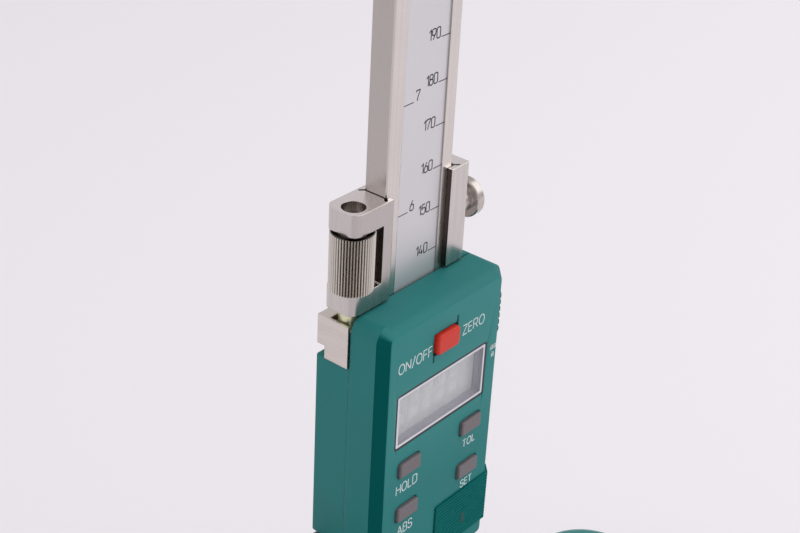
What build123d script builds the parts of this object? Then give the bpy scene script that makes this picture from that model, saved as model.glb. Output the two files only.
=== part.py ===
from build123d import *
import os

# Digital height gauge, 300 mm. Millimetres, +Z up.
# The origin lies on the surface plate, under the middle of the beam's front face.
# +X is to the right of someone who reads the display, and the display faces -Y.

# Fits
gap = 0.1                      # sliding gap between flat faces that move past each other
pin_gap = 0.05                 # radial gap of a shaft in its hole
seat_gap = 0.3                 # gap round a button in its hole
moulding_gap = 0.15            # gap between a moulded cover and what it slides in
thread_end_gap = 1.0           # a screw ends this far above the bottom of its hole
edge_break = 0.3               # chamfer on machined edges
weld = 0.2                     # how far a moulded boss runs into the wall that carries it
past = 1.0                     # how far a cut runs past the face that it opens

# Beam and its scale
beam_width = 22.0
beam_thickness = 6.0
beam_top = 455.0
beam_edge = 0.3
strip_width = 14.3
strip_offset = 0.35            # the strip's centre line, to the right of the beam's
strip_thickness = 0.4
strip_recess = 0.35            # the strip's face, below the beam's
strip_bottom = 48.0

# Base
base_height = 40.0
base_left = -58.0
base_right = 116.5
base_front = -50.0
base_rear = 21.0
base_nose = 20.0               # corner radius, right end
base_heel = 10.0               # corner radius, left end
base_draft = 2.0               # degrees
base_top_round = 5.0
sole_rim = 11.0
sole_relief = 2.5
sole_bridge = 46.0             # lapped land under the beam
grip_length = 62.0
grip_height = 13.0
grip_depth = 4.5
grip_middle = 62.0             # centre of the finger groove along X
grip_level = 21.0
socket_floor = 12.0            # the beam's lower end
clamp_plate_width = 40.0
clamp_plate_thickness = 7.0
clamp_plate_height = 24.0
clamp_plate_round = 2.0
clamp_screw_radius = 2.5
clamp_screw_head = 4.2
clamp_screw_head_height = 4.5
clamp_screw_recess = 2.5       # depth of the hexagon recess
clamp_screw_grip = 10.0        # thread in the casting
clamp_screw_apart_x = 31.0
clamp_screw_apart_z = 13.0

# Stop on the beam's upper end
stop_overhang = 2.0
stop_thickness = 4.0
stop_round = 1.5
stop_bevel = 0.5
stop_screw_radius = 1.5
stop_screw_head = 2.6
stop_screw_head_height = 1.8
stop_screw_length = 9.0
stop_screw_apart = 12.0

# Slider: heights in this block count up from the housing's lower edge
reading = 57.0                 # height of the scriber's measuring face
face_to_housing = 45.0         # from that face up to the housing's lower edge
housing_bottom = reading + face_to_housing
housing_width = 43.2
housing_height = 77.1
housing_front = -10.1
housing_back = -0.7
housing_corner = 4.8
housing_bevel = 2.3
housing_edge_round = 0.5
housing_wall = 1.8

cover_bottom = 16.0
cover_top = housing_height - 12.35
cover_back = 9.0
cover_edge_round = 0.6

frame_back = 8.3
frame_side = 19.6
rail_back = 6.2
back_plate_front = beam_thickness + gap
gib_thickness = 1.0
frame_bottom = 0.2
frame_top = housing_height - 3.1
lug_left = 22.0
lug_front = -0.25
lug_top = housing_height - 2.0
lug_bottom = lug_top - 7.2
frame_screw_left = -13.3
frame_screw_right = 15.7
frame_screw_low_left = -15.7
frame_screw_low = 4.5
frame_screw_high = housing_height - 5.8
frame_screw_radius = 1.25
frame_screw_head = 2.3
frame_screw_head_height = 1.5
boss_radius = 2.6
boss_depth = 6.0
cover_screw_x = 15.0
cover_screw_low = cover_bottom + 6.5
cover_screw_high = cover_top - 4.75
cover_screw_radius = 1.0
cover_screw_head = 1.9
cover_screw_head_height = 1.1
cover_screw_length = 6.5
gib_screw_radius = 1.5
gib_screw_length = 5.0
gib_screw_low = 12.0
gib_screw_high = frame_top - 19.0
gib_slot_width = 0.5
gib_slot_depth = 0.6
gib_inset = 1.0                # a gib is this much shorter than its channel, at each end

# Jaw
jaw_left = 78.0
jaw_height = 15.2
leg_width = 14.0
foot_height = 10.0
foot_reach = 98.0              # left end of the foot
jaw_inner_round = 3.0
jaw_outer_bevel = 5.0

# Scriber: an offset steel bar with a brazed carbide tip
scriber_width = 8.0
scriber_height = 9.0
scriber_drop = 10.0            # from the underside of the shank to the measuring face
scriber_right = 62.0
scriber_shank_end = 100.0
scriber_tip_x = 130.0
scriber_nose = 0.6             # steel above the tip's point
scriber_slope = 5.5            # height of the slope's middle above the measuring face
scriber_heel = 1.5             # run of the step under the shank
tip_length = 14.0
tip_thickness = 2.0
tip_point_width = 2.4

# Scriber clamp
ring_width = 10.0
ring_centre = 89.0
ring_wall = 3.4
ring_top_wall = 5.5
ring_play = 0.2
ring_head_room = 2.0
ring_round = 1.5
clamp_thread = 2.5
clamp_knob_radius = 7.0
clamp_knob_height = 11.0
clamp_neck_height = 2.0
clamp_knob_bevel = 0.7
clamp_knob_rim = 2.5
clamp_knob_dish = 0.8

# Fine adjustment carriage
carriage_gap = 0.6             # between the housing's top and the carriage
carriage_height = 23.9
carriage_left = 22.0
carriage_right = 15.7
carriage_front = 1.3
carriage_back = 7.3
mouth_left = 10.0              # the opening in front of the scale, to each side of the middle
mouth_right = 9.5
carriage_round = 2.3
relief_length = 2.1
relief_width = 0.7
carriage_play = 0.25           # beside the beam, on the fork's side
window_bottom = 4.8
window_top = 18.7
window_right = 12.9
window_round = 0.8
screw_x = -18.5
screw_y = 2.4
screw_radius = 2.5
nut_radius = 4.9
nut_edge = 0.4
nut_play = 0.1
fork_bore = 2.65
screw_seat = 6.0               # depth of the screw's seat in the lug
screw_pocket = 2.9             # half width of the milled pocket round the screw
screw_pocket_depth = 1.5
screw_top = 21.3               # above the carriage's lower face
lock_level = carriage_height / 2

# Lock knobs
lock_thread = 1.5
lock_hub = 3.0
lock_hub_length = 3.5
lock_knob_radius = 4.75
lock_knob_thickness = 2.4
lock_stand_off = 0.5
slider_lock_level = 7.8
slider_lock_radius = 6.0
slider_lock_thickness = 5.0

# Display
display_width = 31.1
display_height = 13.4
display_centre_x = -0.4
display_centre_z = housing_height - 25.1
display_border = 0.65
display_round = 0.4
display_line = 0.55            # dark joint round the border
display_line_depth = 0.5
display_sunk = 0.1
window_sunk = 0.05             # the window's face, behind the border's
window_thickness = 0.8
glass_depth = 2.3
lcd_margin = 0.7

# Electronics
board_front = -5.3
board_thickness = 1.6
board_half = 18.4
board_low = 4.0
board_step = 22.5
board_shoulder = housing_height - 9.1
board_high = housing_height - 2.9
board_neck = 10.0              # half width above the shoulders
board_well_left = 1.0          # the board ends here beside the battery
board_round = 0.6
board_gap = 0.3                # round the housing's bosses
read_head_width = 12.0
read_head_height = 36.0
read_head_round = 0.8
read_head_centre = 0.6 * housing_height
mat_thickness = 0.8
mat_margin = 1.15
dome_height = 0.8
dome_radius = 1.6
dome_top_radius = 1.0
socket_width = 5.5
socket_height = 5.5
socket_depth = 2.2

# Buttons
button_proud = 0.9
button_width = 7.0
button_height = 3.7
button_round = 0.5
button_crown = 0.4            # rounding of a key's front edges
button_flange = 0.6
button_flange_thickness = 0.8
button_x = 11.1
button_top_row = 0.5006 * housing_height
button_pitch = 0.1608 * housing_height
red_width = 7.8
red_height = 5.0
red_x = -0.45
red_z = housing_height - 10.1
red_round = 1.2
red_proud = 1.2
red_crown = 0.6
red_gap = 0.3                  # between the red button and its hole
red_slot_width = 0.45          # slots at two corners of that hole
red_slot_length = 1.6

# Battery and its cover
battery_radius = 5.8
battery_thickness = 5.4
battery_bevel = 0.3
battery_step = 1.3             # the pole is this much smaller in radius
battery_pole = 0.6
battery_x = 11.0
battery_z = 13.1
battery_depth = 1.6            # cell's front face below the housing's front
well_wall = 1.2
well_gap = 0.3
contact_thickness = 0.3
contact_length = 9.1
contact_width = 4.0
contact_round = 1.0
lid_left = 0.2
lid_low = 6.2
lid_high = 20.0
lid_proud = 0.5
lid_thickness = 1.6
lid_tongue = 1.0
lid_tongue_thickness = 0.5
lid_side_proud = 0.6
lid_side_back = -4.0
lid_rib_pitch = 0.9
lid_rib_width = 0.5
lid_rib_depth = 0.2

# Port cover
port_high = housing_height - 7.2
port_low = port_high - 10.6
port_front = -9.6              # it reaches round the housing's bevel to here
port_back = -2.2
port_skin = 0.25
port_proud = 0.6
port_rib_pitch = 1.75
port_rib_width = 0.9
port_plug_front = -6.4
port_plug_back = -3.4
port_plug_inset = 1.2
port_plug_length = 1.9

half_beam = beam_width / 2
half_housing = housing_width / 2
strip_back = strip_recess + strip_thickness
gib_space = gib_thickness + 2 * gap
channel_right = half_beam + gib_space
housing_top = housing_bottom + housing_height
carriage_bottom = housing_top + carriage_gap
carriage_top = carriage_bottom + carriage_height
housing_inner_front = housing_front + housing_wall
board_back = board_front + board_thickness
mat_front = board_front - mat_thickness
shank_bottom = reading + scriber_drop
shank_top = shank_bottom + scriber_height
foot_top = shank_top + foot_height
jaw_bottom = housing_bottom + frame_bottom
jaw_top = jaw_bottom + jaw_height
socket_clamp_back = beam_thickness + clamp_plate_thickness


def block(x_low, x_high, y_low, y_high, z_low, z_high):
    """A block between two corners."""
    middle = Pos((x_low + x_high) / 2, (y_low + y_high) / 2, (z_low + z_high) / 2)
    return middle * Box(x_high - x_low, y_high - y_low, z_high - z_low)


def along_y(outline, y_low, y_high):
    """An outline in X and Z, given its thickness from y_low to y_high."""
    return extrude(Plane.XZ.offset(-y_high) * outline, amount=y_high - y_low)


def along_z(outline, z_low, z_high):
    """An outline in X and Y, given its height from z_low to z_high."""
    return Pos(0, 0, z_low) * extrude(outline, amount=z_high - z_low)


def frame_rectangle(x_low, x_high, low, high):
    """A flat rectangle between two corners."""
    return Pos((x_low + x_high) / 2, (low + high) / 2) * Rectangle(x_high - x_low, high - low)


def rounded(width, height, radius):
    """A flat rectangle with rounded corners, about its centre."""
    return RectangleRounded(width, height, radius)


def rod_x(radius, x_low, x_high, y, z):
    """A round bar along X."""
    return Pos((x_low + x_high) / 2, y, z) * Rot(0, 90, 0) * Cylinder(radius, x_high - x_low)


def rod_y(radius, y_low, y_high, x, z):
    """A round bar along Y."""
    return Pos(x, (y_low + y_high) / 2, z) * Rot(90, 0, 0) * Cylinder(radius, y_high - y_low)


def rod_z(radius, z_low, z_high, x, y):
    """A round bar along Z."""
    return Pos(x, y, (z_low + z_high) / 2) * Cylinder(radius, z_high - z_low)


def up(level):
    """A height above the housing's lower edge, as a height above the surface plate."""
    return housing_bottom + level


# ---------------------------------------------------------------- base and beam

def make_base():
    """Cast base: drafted block with a round nose, relieved sole, finger grooves and the beam's socket."""
    length = base_right - base_left
    depth = base_rear - base_front
    plan = Pos((base_left + base_right) / 2, (base_front + base_rear) / 2) * Rectangle(length, depth)
    plan = fillet(plan.vertices().group_by(Axis.X)[-1], base_nose)
    plan = fillet(plan.vertices().group_by(Axis.X)[0], base_heel)
    casting = extrude(plan, amount=base_height, taper=base_draft)
    casting = fillet(casting.faces().sort_by(Axis.Z)[-1].edges(), base_top_round)

    relief = offset(plan, amount=-sole_rim)
    bridge = frame_rectangle(-sole_bridge / 2, sole_bridge / 2, base_front, base_rear)
    casting -= extrude(relief - bridge, amount=sole_relief)

    groove = SlotOverall(grip_length, grip_height)
    place = Pos(grip_middle, grip_level)
    casting -= along_y(place * groove, base_front, base_front + grip_depth)
    casting -= along_y(place * groove, base_rear - grip_depth, base_rear)

    casting -= block(-half_beam, half_beam, 0, base_rear, socket_floor, base_height)
    pocket = clamp_plate_width / 2 + gap
    casting -= block(-pocket, pocket, beam_thickness, base_rear, socket_floor, base_height)
    for x, z in clamp_screw_places():
        casting -= rod_y(clamp_screw_radius, beam_thickness - clamp_screw_grip, beam_thickness, x, z)
    return casting


def clamp_screw_places():
    """Where the four clamp screws stand, in X and Z."""
    middle = socket_floor + clamp_plate_height / 2
    return [(side * clamp_screw_apart_x / 2, middle + level * clamp_screw_apart_z / 2)
            for side in (-1, 1) for level in (-1, 1)]


def make_clamp_plate():
    """Plate that holds the beam in the base."""
    middle = socket_floor + clamp_plate_height / 2
    outline = Pos(0, middle) * rounded(clamp_plate_width, clamp_plate_height, clamp_plate_round)
    plate = along_y(outline, beam_thickness, socket_clamp_back)
    for x, z in clamp_screw_places():
        plate -= rod_y(clamp_screw_radius + pin_gap, beam_thickness, socket_clamp_back, x, z)
    return plate


def make_clamp_screws():
    """Four socket head screws with their hexagon recesses."""
    screws = []
    head_back = socket_clamp_back + clamp_screw_head_height
    for x, z in clamp_screw_places():
        shank = rod_y(clamp_screw_radius, beam_thickness - clamp_screw_grip, socket_clamp_back, x, z)
        head = rod_y(clamp_screw_head, socket_clamp_back, head_back, x, z)
        hexagon = Pos(x, z) * RegularPolygon(clamp_screw_head / 2, 6)
        recess = along_y(hexagon, head_back - clamp_screw_recess, head_back)
        screws.append(shank + head - recess)
    return Compound(children=screws)


def make_beam():
    """Beam: flat bar with eased long edges, a seat for the scale strip and tapped holes in its end."""
    section = Pos(0, beam_thickness / 2) * Rectangle(beam_width, beam_thickness)
    section = chamfer(section.vertices(), beam_edge)
    beam = along_z(section, socket_floor, beam_top)
    left = strip_offset - strip_width / 2
    beam -= block(left, left + strip_width, 0, strip_back, strip_bottom, beam_top)
    for x in (-stop_screw_apart / 2, stop_screw_apart / 2):
        beam -= rod_z(stop_screw_radius, beam_top - stop_screw_length, beam_top, x, stop_screw_y())
    return beam


def stop_screw_y():
    """The stop screws' axis, behind the scale strip's seat."""
    return (strip_back + beam_thickness) / 2


def make_scale_strip():
    """Graduated strip, sunk a little below the beam's face."""
    left = strip_offset - strip_width / 2
    return block(left, left + strip_width, strip_recess, strip_back, strip_bottom, beam_top)


def make_top_stop():
    """Cap that keeps the carriage on the beam."""
    width = beam_width + 2 * stop_overhang
    depth = beam_thickness + 2 * stop_overhang
    outline = Pos(0, beam_thickness / 2) * rounded(width, depth, stop_round)
    cap = along_z(outline, beam_top, beam_top + stop_thickness)
    cap = chamfer(cap.faces().sort_by(Axis.Z)[-1].edges(), stop_bevel)
    for x in (-stop_screw_apart / 2, stop_screw_apart / 2):
        cap -= rod_z(stop_screw_radius + pin_gap, beam_top, beam_top + stop_thickness, x, stop_screw_y())
    return cap


def make_top_stop_screws():
    """Two cross recess screws in the beam's end."""
    screws = []
    cap_top = beam_top + stop_thickness
    head_top = cap_top + stop_screw_head_height
    for x in (-stop_screw_apart / 2, stop_screw_apart / 2):
        shank_low = beam_top - stop_screw_length + thread_end_gap
        shank = rod_z(stop_screw_radius, shank_low, cap_top, x, stop_screw_y())
        head = rod_z(stop_screw_head, cap_top, head_top, x, stop_screw_y())
        head = chamfer(head.faces().sort_by(Axis.Z)[-1].edges(), stop_bevel)
        screws.append(shank + head)
    return Compound(children=screws)


# ---------------------------------------------------------------- carriage

def make_carriage():
    """Carriage block: channel round the beam with corner reliefs, fork with a window for the nut."""
    outer = frame_rectangle(-carriage_left, carriage_right, -carriage_front, carriage_back)
    outer = fillet(outer.vertices().group_by(Axis.X)[0], carriage_round)
    left = -half_beam - carriage_play
    back = beam_thickness + gap
    channel = frame_rectangle(left, channel_right, -gap, back)
    mouth = frame_rectangle(-mouth_left, mouth_right, -carriage_front, 0)
    section = outer - channel - mouth
    corners = ((left, back, -45), (left, -gap, 45), (channel_right, back, 45), (channel_right, -gap, -45))
    for x, y, turn in corners:
        section -= Pos(x, y) * Rot(0, 0, turn) * SlotOverall(relief_length, relief_width)
    body = along_z(section, carriage_bottom, carriage_top)
    body = chamfer(body.edges().filter_by(Axis.Z).sort_by(Axis.X)[-2:], edge_break)

    low = carriage_bottom + window_bottom
    high = carriage_bottom + window_top
    opening = frame_rectangle(-carriage_left - past, -window_right, low, high)
    opening = fillet(opening.vertices().sort_by(Axis.X)[-2:].sort_by(Axis.Y)[0], window_round)
    body -= along_y(opening, -carriage_front, carriage_back)
    body -= rod_z(fork_bore, carriage_bottom, carriage_top, screw_x, screw_y)
    level = carriage_bottom + lock_level
    body -= rod_x(lock_thread + pin_gap, channel_right, carriage_right, beam_thickness / 2, level)
    return body


def make_carriage_gib():
    """Brass strip that the lock screw presses on the beam."""
    x_low = half_beam + gap
    return block(x_low, x_low + gib_thickness, gap, beam_thickness - gap,
                 carriage_bottom + gib_inset, carriage_top - gib_inset)


def make_lock_knob_x():
    """Carriage lock: thumb disc, hub and thread along X."""
    level = carriage_bottom + lock_level
    y = beam_thickness / 2
    tip = half_beam + gap + gib_thickness
    hub = carriage_right + lock_stand_off
    disc = hub + lock_hub_length
    end = disc + lock_knob_thickness
    thread = rod_x(lock_thread, tip, hub, y, level)
    collar = rod_x(lock_hub, hub, disc, y, level)
    thumb = rod_x(lock_knob_radius, disc, end, y, level)
    thumb = chamfer(thumb.edges().filter_by(GeomType.CIRCLE), edge_break)
    return thread + collar + thumb


def make_fine_nut():
    """Knurled adjusting nut, held between the fork's lugs."""
    low = carriage_bottom + window_bottom + nut_play
    high = carriage_bottom + window_top - nut_play
    nut = rod_z(nut_radius, low, high, screw_x, screw_y)
    nut = chamfer(nut.edges().filter_by(GeomType.CIRCLE), nut_edge)
    return nut - rod_z(screw_radius + pin_gap, low, high, screw_x, screw_y)


def make_adjusting_screw():
    """Threaded rod that stands in the slider's lug and runs through the nut."""
    low = up(lug_top) - screw_seat
    rod = rod_z(screw_radius, low, carriage_bottom + screw_top, screw_x, screw_y)
    return chamfer(rod.edges().filter_by(GeomType.CIRCLE), edge_break)


# ---------------------------------------------------------------- slider frame and jaw

def jaw_outline():
    """Side of the jaw in X and Z: arm, drop leg and foot in one bent bar."""
    points = [
        (0, jaw_bottom), (-jaw_left + leg_width, jaw_bottom), (-jaw_left + leg_width, shank_top),
        (-foot_reach, shank_top), (-foot_reach, foot_top), (-jaw_left, foot_top),
        (-jaw_left, jaw_top), (0, jaw_top),
    ]
    outline = make_face(Polyline(*points, close=True))
    corners = outline.vertices()
    arm_corner = corners.sort_by_distance((-jaw_left + leg_width, jaw_bottom, 0))[0]
    foot_corner = corners.sort_by_distance((-jaw_left, foot_top, 0))[0]
    outline = fillet([arm_corner, foot_corner], jaw_inner_round)
    top_corner = outline.vertices().sort_by_distance((-jaw_left, jaw_top, 0))[0]
    outline = chamfer(top_corner, jaw_outer_bevel)
    return outline


def make_slider_frame():
    """Machined channel that slides on the beam, with the screw's lug at the top and the jaw at the bottom."""
    channel_left = half_beam + gap
    neck_low = up(cover_top)
    lug_low = up(lug_bottom)
    lug_high = up(lug_top)

    left_rail = block(-frame_side, -channel_left, housing_back, rail_back, jaw_bottom, neck_low)
    neck = block(-lug_left, -channel_left, lug_front, rail_back, neck_low, lug_low)
    lug = block(-lug_left, -channel_left, lug_front, frame_back, lug_low, lug_high)
    right_rail = block(channel_right, frame_side, housing_back, rail_back, jaw_bottom, up(frame_top))
    upper_bridge = block(-lug_left, frame_side, back_plate_front, frame_back, lug_low, up(frame_top))
    lower_bridge = block(-channel_left, frame_side, back_plate_front, frame_back, jaw_bottom, jaw_top)
    jaw = along_y(jaw_outline(), housing_back, frame_back)
    jaw -= block(-channel_left, 0, housing_back, back_plate_front, jaw_bottom, jaw_top)
    body = left_rail + neck + lug + right_rail + upper_bridge + lower_bridge + jaw

    screw_low = lug_high - screw_seat
    body -= rod_z(screw_radius + pin_gap, screw_low, lug_high, screw_x, screw_y)
    body -= block(screw_x - screw_pocket, screw_x + screw_pocket, lug_front, screw_y + screw_pocket,
                  lug_high - screw_pocket_depth, lug_high)
    for x, z in frame_screw_places():
        body -= rod_y(frame_screw_radius + pin_gap, housing_back, frame_back, x, z)
        body -= rod_y(frame_screw_head + pin_gap, frame_back - frame_screw_head_height, frame_back, x, z)
    for x, z in cover_screw_places():
        body -= rod_y(cover_screw_radius, cover_back - cover_screw_length, rail_back, x, z)
    for level in (gib_screw_low, gib_screw_high):
        body -= rod_x(gib_screw_radius + pin_gap, channel_right, frame_side, beam_thickness / 2, up(level))
    body -= rod_y(lock_thread + pin_gap, back_plate_front, frame_back, 0, up(slider_lock_level))
    return body


def frame_screw_places():
    """Where the screws run from the frame into the housing, in X and Z."""
    return [
        (frame_screw_left, up(frame_screw_high)), (frame_screw_right, up(frame_screw_high)),
        (frame_screw_low_left, up(frame_screw_low)), (frame_screw_right, up(frame_screw_low)),
    ]


def cover_screw_places():
    """Where the screws hold the back cover, in X and Z."""
    return [(side * cover_screw_x, up(level))
            for side in (-1, 1) for level in (cover_screw_low, cover_screw_high)]


def make_frame_screws():
    """Four screws from the back of the frame into the housing's bosses."""
    screws = []
    for x, z in frame_screw_places():
        neck = frame_back - frame_screw_head_height
        shank = rod_y(frame_screw_radius, housing_back - boss_depth + thread_end_gap, neck, x, z)
        head = rod_y(frame_screw_head, neck, frame_back, x, z)
        screws.append(shank + head)
    return Compound(children=screws)


def make_cover_screws():
    """Four countersunk screws in the back cover."""
    screws = []
    for x, z in cover_screw_places():
        neck = cover_back - cover_screw_head_height
        shank = rod_y(cover_screw_radius, cover_back - cover_screw_length, neck, x, z)
        head = Pos(x, (neck + cover_back) / 2, z) * Rot(90, 0, 0) * Cone(
            cover_screw_head, cover_screw_radius, cover_screw_head_height)
        screws.append(shank + head)
    return Compound(children=screws)


def make_slider_gib():
    """Brass strip between the right rail and the beam."""
    x_low = half_beam + gap
    x_high = x_low + gib_thickness
    return block(x_low, x_high, gap, beam_thickness - gap, jaw_bottom + gib_inset, up(frame_top) - gib_inset)


def make_gib_screws():
    """Slotted set screws that bear on the slider's gib."""
    tip = half_beam + gap + gib_thickness
    screws = []
    end = tip + gib_screw_length
    for level in (gib_screw_low, gib_screw_high):
        screw = rod_x(gib_screw_radius, tip, end, beam_thickness / 2, up(level))
        screw -= block(end - gib_slot_depth, end, 0, beam_thickness,
                       up(level) - gib_slot_width / 2, up(level) + gib_slot_width / 2)
        screws.append(screw)
    return Compound(children=screws)


def make_lock_knob_y():
    """Slider lock: thumb knob, hub and thread along Y."""
    level = up(slider_lock_level)
    tip = back_plate_front + pin_gap
    hub = frame_back + lock_stand_off
    disc = hub + lock_hub_length
    end = disc + slider_lock_thickness
    thread = rod_y(lock_thread, tip, hub, 0, level)
    collar = rod_y(lock_hub, hub, disc, 0, level)
    thumb = rod_y(slider_lock_radius, disc, end, 0, level)
    thumb = chamfer(thumb.edges().filter_by(GeomType.CIRCLE), edge_break)
    return thread + collar + thumb


# ---------------------------------------------------------------- scriber and its clamp

def make_scriber():
    """Offset scriber: square shank that steps down to a chisel nose."""
    nose_bottom = reading + tip_thickness
    nose_x = -scriber_tip_x
    points = [
        (-scriber_right, shank_bottom), (-scriber_right, shank_top), (-scriber_shank_end, shank_top),
        (nose_x + tip_length / 2, reading + scriber_slope), (nose_x, nose_bottom + scriber_nose),
        (nose_x, nose_bottom),
        (nose_x + tip_length, nose_bottom), (-scriber_shank_end + scriber_heel, shank_bottom),
    ]
    side = along_y(make_face(Polyline(*points, close=True)), *scriber_sides())
    return side & along_z(scriber_plan(), reading, shank_top)


def scriber_sides():
    """The scriber's front and back faces, centred on the jaw's thickness."""
    middle = (housing_back + frame_back) / 2
    return middle - scriber_width / 2, middle + scriber_width / 2


def scriber_plan():
    """The scriber from above: parallel, then narrowed to its point."""
    low, high = scriber_sides()
    middle = (low + high) / 2
    half_point = tip_point_width / 2
    start = -scriber_tip_x + tip_length
    points = [
        (-scriber_right, low), (-scriber_right, high), (start, high),
        (-scriber_tip_x, middle + half_point), (-scriber_tip_x, middle - half_point), (start, low),
    ]
    return make_face(Polyline(*points, close=True))


def make_scriber_tip():
    """Carbide slip brazed under the nose; its lower face is the measuring face."""
    bar = block(-scriber_tip_x, -scriber_tip_x + tip_length, housing_back, frame_back,
                reading, reading + tip_thickness)
    return bar & along_z(scriber_plan(), reading, shank_top)


def make_scriber_clamp():
    """Ring that pulls the scriber up against the foot of the jaw."""
    y_low = housing_back - ring_play
    y_high = frame_back + ring_play
    x_low = -ring_centre - ring_width / 2
    x_high = -ring_centre + ring_width / 2
    inner_top = foot_top + ring_head_room
    top = inner_top + ring_top_wall
    outline = frame_rectangle(y_low - ring_wall, y_high + ring_wall, shank_bottom - ring_wall, top)
    outline = fillet(outline.vertices(), ring_round)
    hole = frame_rectangle(y_low, y_high, shank_bottom, inner_top)
    ring = Pos(x_low, 0, 0) * extrude(Plane.YZ * (outline - hole), amount=x_high - x_low)
    middle = (housing_back + frame_back) / 2
    return ring - rod_z(clamp_thread + pin_gap, inner_top, top, -ring_centre, middle)


def make_clamp_knob():
    """Thumb screw that presses on the foot."""
    middle = (housing_back + frame_back) / 2
    ring_top = foot_top + ring_head_room + ring_top_wall
    neck = ring_top + clamp_neck_height
    top = neck + clamp_knob_height
    thread = rod_z(clamp_thread, foot_top, neck, -ring_centre, middle)
    knob = rod_z(clamp_knob_radius, neck, top, -ring_centre, middle)
    knob = chamfer(knob.edges().filter_by(GeomType.CIRCLE), clamp_knob_bevel)
    knob -= rod_z(clamp_knob_radius - clamp_knob_rim, top - clamp_knob_dish, top, -ring_centre, middle)
    return thread + knob


# ---------------------------------------------------------------- housing

def housing_outline(inset):
    """The housing from the front, made smaller all round by inset."""
    width = housing_width - 2 * inset
    height = housing_height - 2 * inset
    middle = housing_bottom + housing_height / 2
    return Pos(0, middle) * rounded(width, height, housing_corner - inset)


def lid_profile(grow):
    """The battery cover from above: flat front, bevel and the lip round the housing's side."""
    side = half_housing + lid_side_proud + grow
    front = housing_front - lid_proud - grow
    inner = front + lid_thickness + 2 * grow
    bevel = housing_bevel
    points = [
        (lid_left - grow, front), (half_housing - bevel + lid_side_proud, front),
        (side, housing_front + bevel - lid_proud), (side, lid_side_back + grow),
        (half_housing - lid_tongue_thickness, lid_side_back + grow),
        (half_housing - lid_tongue_thickness, inner + bevel),
        (half_housing - lid_tongue_thickness - bevel, inner), (lid_left - grow, inner),
    ]
    return make_face(Polyline(*points, close=True))


def make_housing():
    """Front housing: bevelled moulded shell with bosses, button holes and a battery well."""
    shell = along_y(housing_outline(0), housing_front, housing_back)
    front_face = shell.faces().sort_by(Axis.Y)[0]
    shell = chamfer(front_face.edges(), housing_bevel)
    shell = fillet(shell.faces().sort_by(Axis.Y)[0].edges(), housing_edge_round)
    shell -= along_y(housing_outline(housing_wall), housing_inner_front, housing_back)

    for x, z in frame_screw_places():
        shell += rod_y(boss_radius, housing_inner_front - weld, housing_back, x, z)
    well_radius = battery_radius + well_gap
    well_back = housing_front + battery_depth + battery_thickness + contact_thickness
    shell += rod_y(well_radius + well_wall, housing_inner_front - weld, well_back + well_wall,
                   battery_x, up(battery_z))
    lid_floor = housing_front - lid_proud + lid_thickness + moulding_gap
    shell -= rod_y(well_radius, lid_floor - past, well_back, battery_x, up(battery_z))
    for x, z in frame_screw_places():
        shell -= rod_y(frame_screw_radius, housing_back - boss_depth, housing_back, x, z)

    tab = block(-mouth_left + gap, mouth_right - gap, housing_back - weld, -gap,
                housing_top - housing_wall, housing_top)
    shell += tab

    line = display_line
    rim = rounded(display_width + 2 * line, display_height + 2 * line, display_round + line)
    shell -= along_y(display_place() * rim, housing_front, housing_front + display_line_depth)
    hole = rounded(display_width + gap, display_height + gap, display_round + gap / 2)
    shell -= along_y(display_place() * hole, housing_front, housing_inner_front)

    for x, z in grey_button_places().values():
        hole = rounded(button_width + 2 * seat_gap, button_height + 2 * seat_gap, button_round + seat_gap)
        shell -= along_y(Pos(x, z) * hole, housing_front, housing_inner_front)
    slot = rounded(red_width + 2 * red_gap, red_height + 2 * red_gap, red_gap)
    shell -= along_y(Pos(red_x, up(red_z)) * slot, housing_front, housing_inner_front)
    side = red_width / 2 + red_gap
    end = red_height / 2 + red_gap
    upper_slot = (red_x + side - red_slot_width, up(red_z) + end)
    lower_slot = (red_x - side, up(red_z) - end - red_slot_length)
    for x, z in (upper_slot, lower_slot):
        shell -= block(x, x + red_slot_width, housing_front, housing_inner_front, z, z + red_slot_length)

    grow = moulding_gap
    shell -= along_z(lid_profile(grow), up(lid_low) - grow, up(lid_high) + grow)
    tongue_front = housing_front - lid_proud + lid_thickness - lid_tongue_thickness
    shell -= block(lid_left - grow, half_housing + past, tongue_front - grow,
                   tongue_front + lid_tongue_thickness + grow,
                   up(lid_low) - lid_tongue - grow, up(lid_high) + lid_tongue + grow)

    inset = port_plug_inset - grow
    shell -= block(half_housing - housing_wall, half_housing, port_plug_front - grow, port_plug_back + grow,
                   up(port_low) + inset, up(port_high) - inset)
    return shell


def make_back_cover():
    """Rear cover: channel with rounded edges that hides the frame's rails behind the housing."""
    outer = frame_rectangle(-half_housing, half_housing, housing_back, cover_back)
    inner = frame_rectangle(-frame_side - gap, frame_side + gap, housing_back, rail_back)
    cover = along_z(outer, up(cover_bottom), up(cover_top))
    outer_edges = cover.edges().filter_by(lambda edge: edge.center().Y > housing_back + gap)
    cover = fillet(outer_edges, cover_edge_round)
    cover -= along_z(inner, up(cover_bottom), up(cover_top))
    for x, z in cover_screw_places():
        neck = cover_back - cover_screw_head_height
        cover -= rod_y(cover_screw_radius + pin_gap, rail_back, cover_back, x, z)
        cover -= Pos(x, (neck + cover_back) / 2, z) * Rot(90, 0, 0) * Cone(
            cover_screw_head + pin_gap, cover_screw_radius + pin_gap, cover_screw_head_height)
    return cover


# ---------------------------------------------------------------- display and electronics

def display_place():
    """Centre of the display, in X and Z."""
    return Pos(display_centre_x, up(display_centre_z))


def lcd_front():
    """The glass lies this far back from the border's face."""
    return housing_front + display_sunk + glass_depth


def display_opening():
    """The clear opening inside the display's border."""
    side = display_width - 2 * display_border
    height = display_height - 2 * display_border
    return rounded(side, height, display_round)


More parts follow.
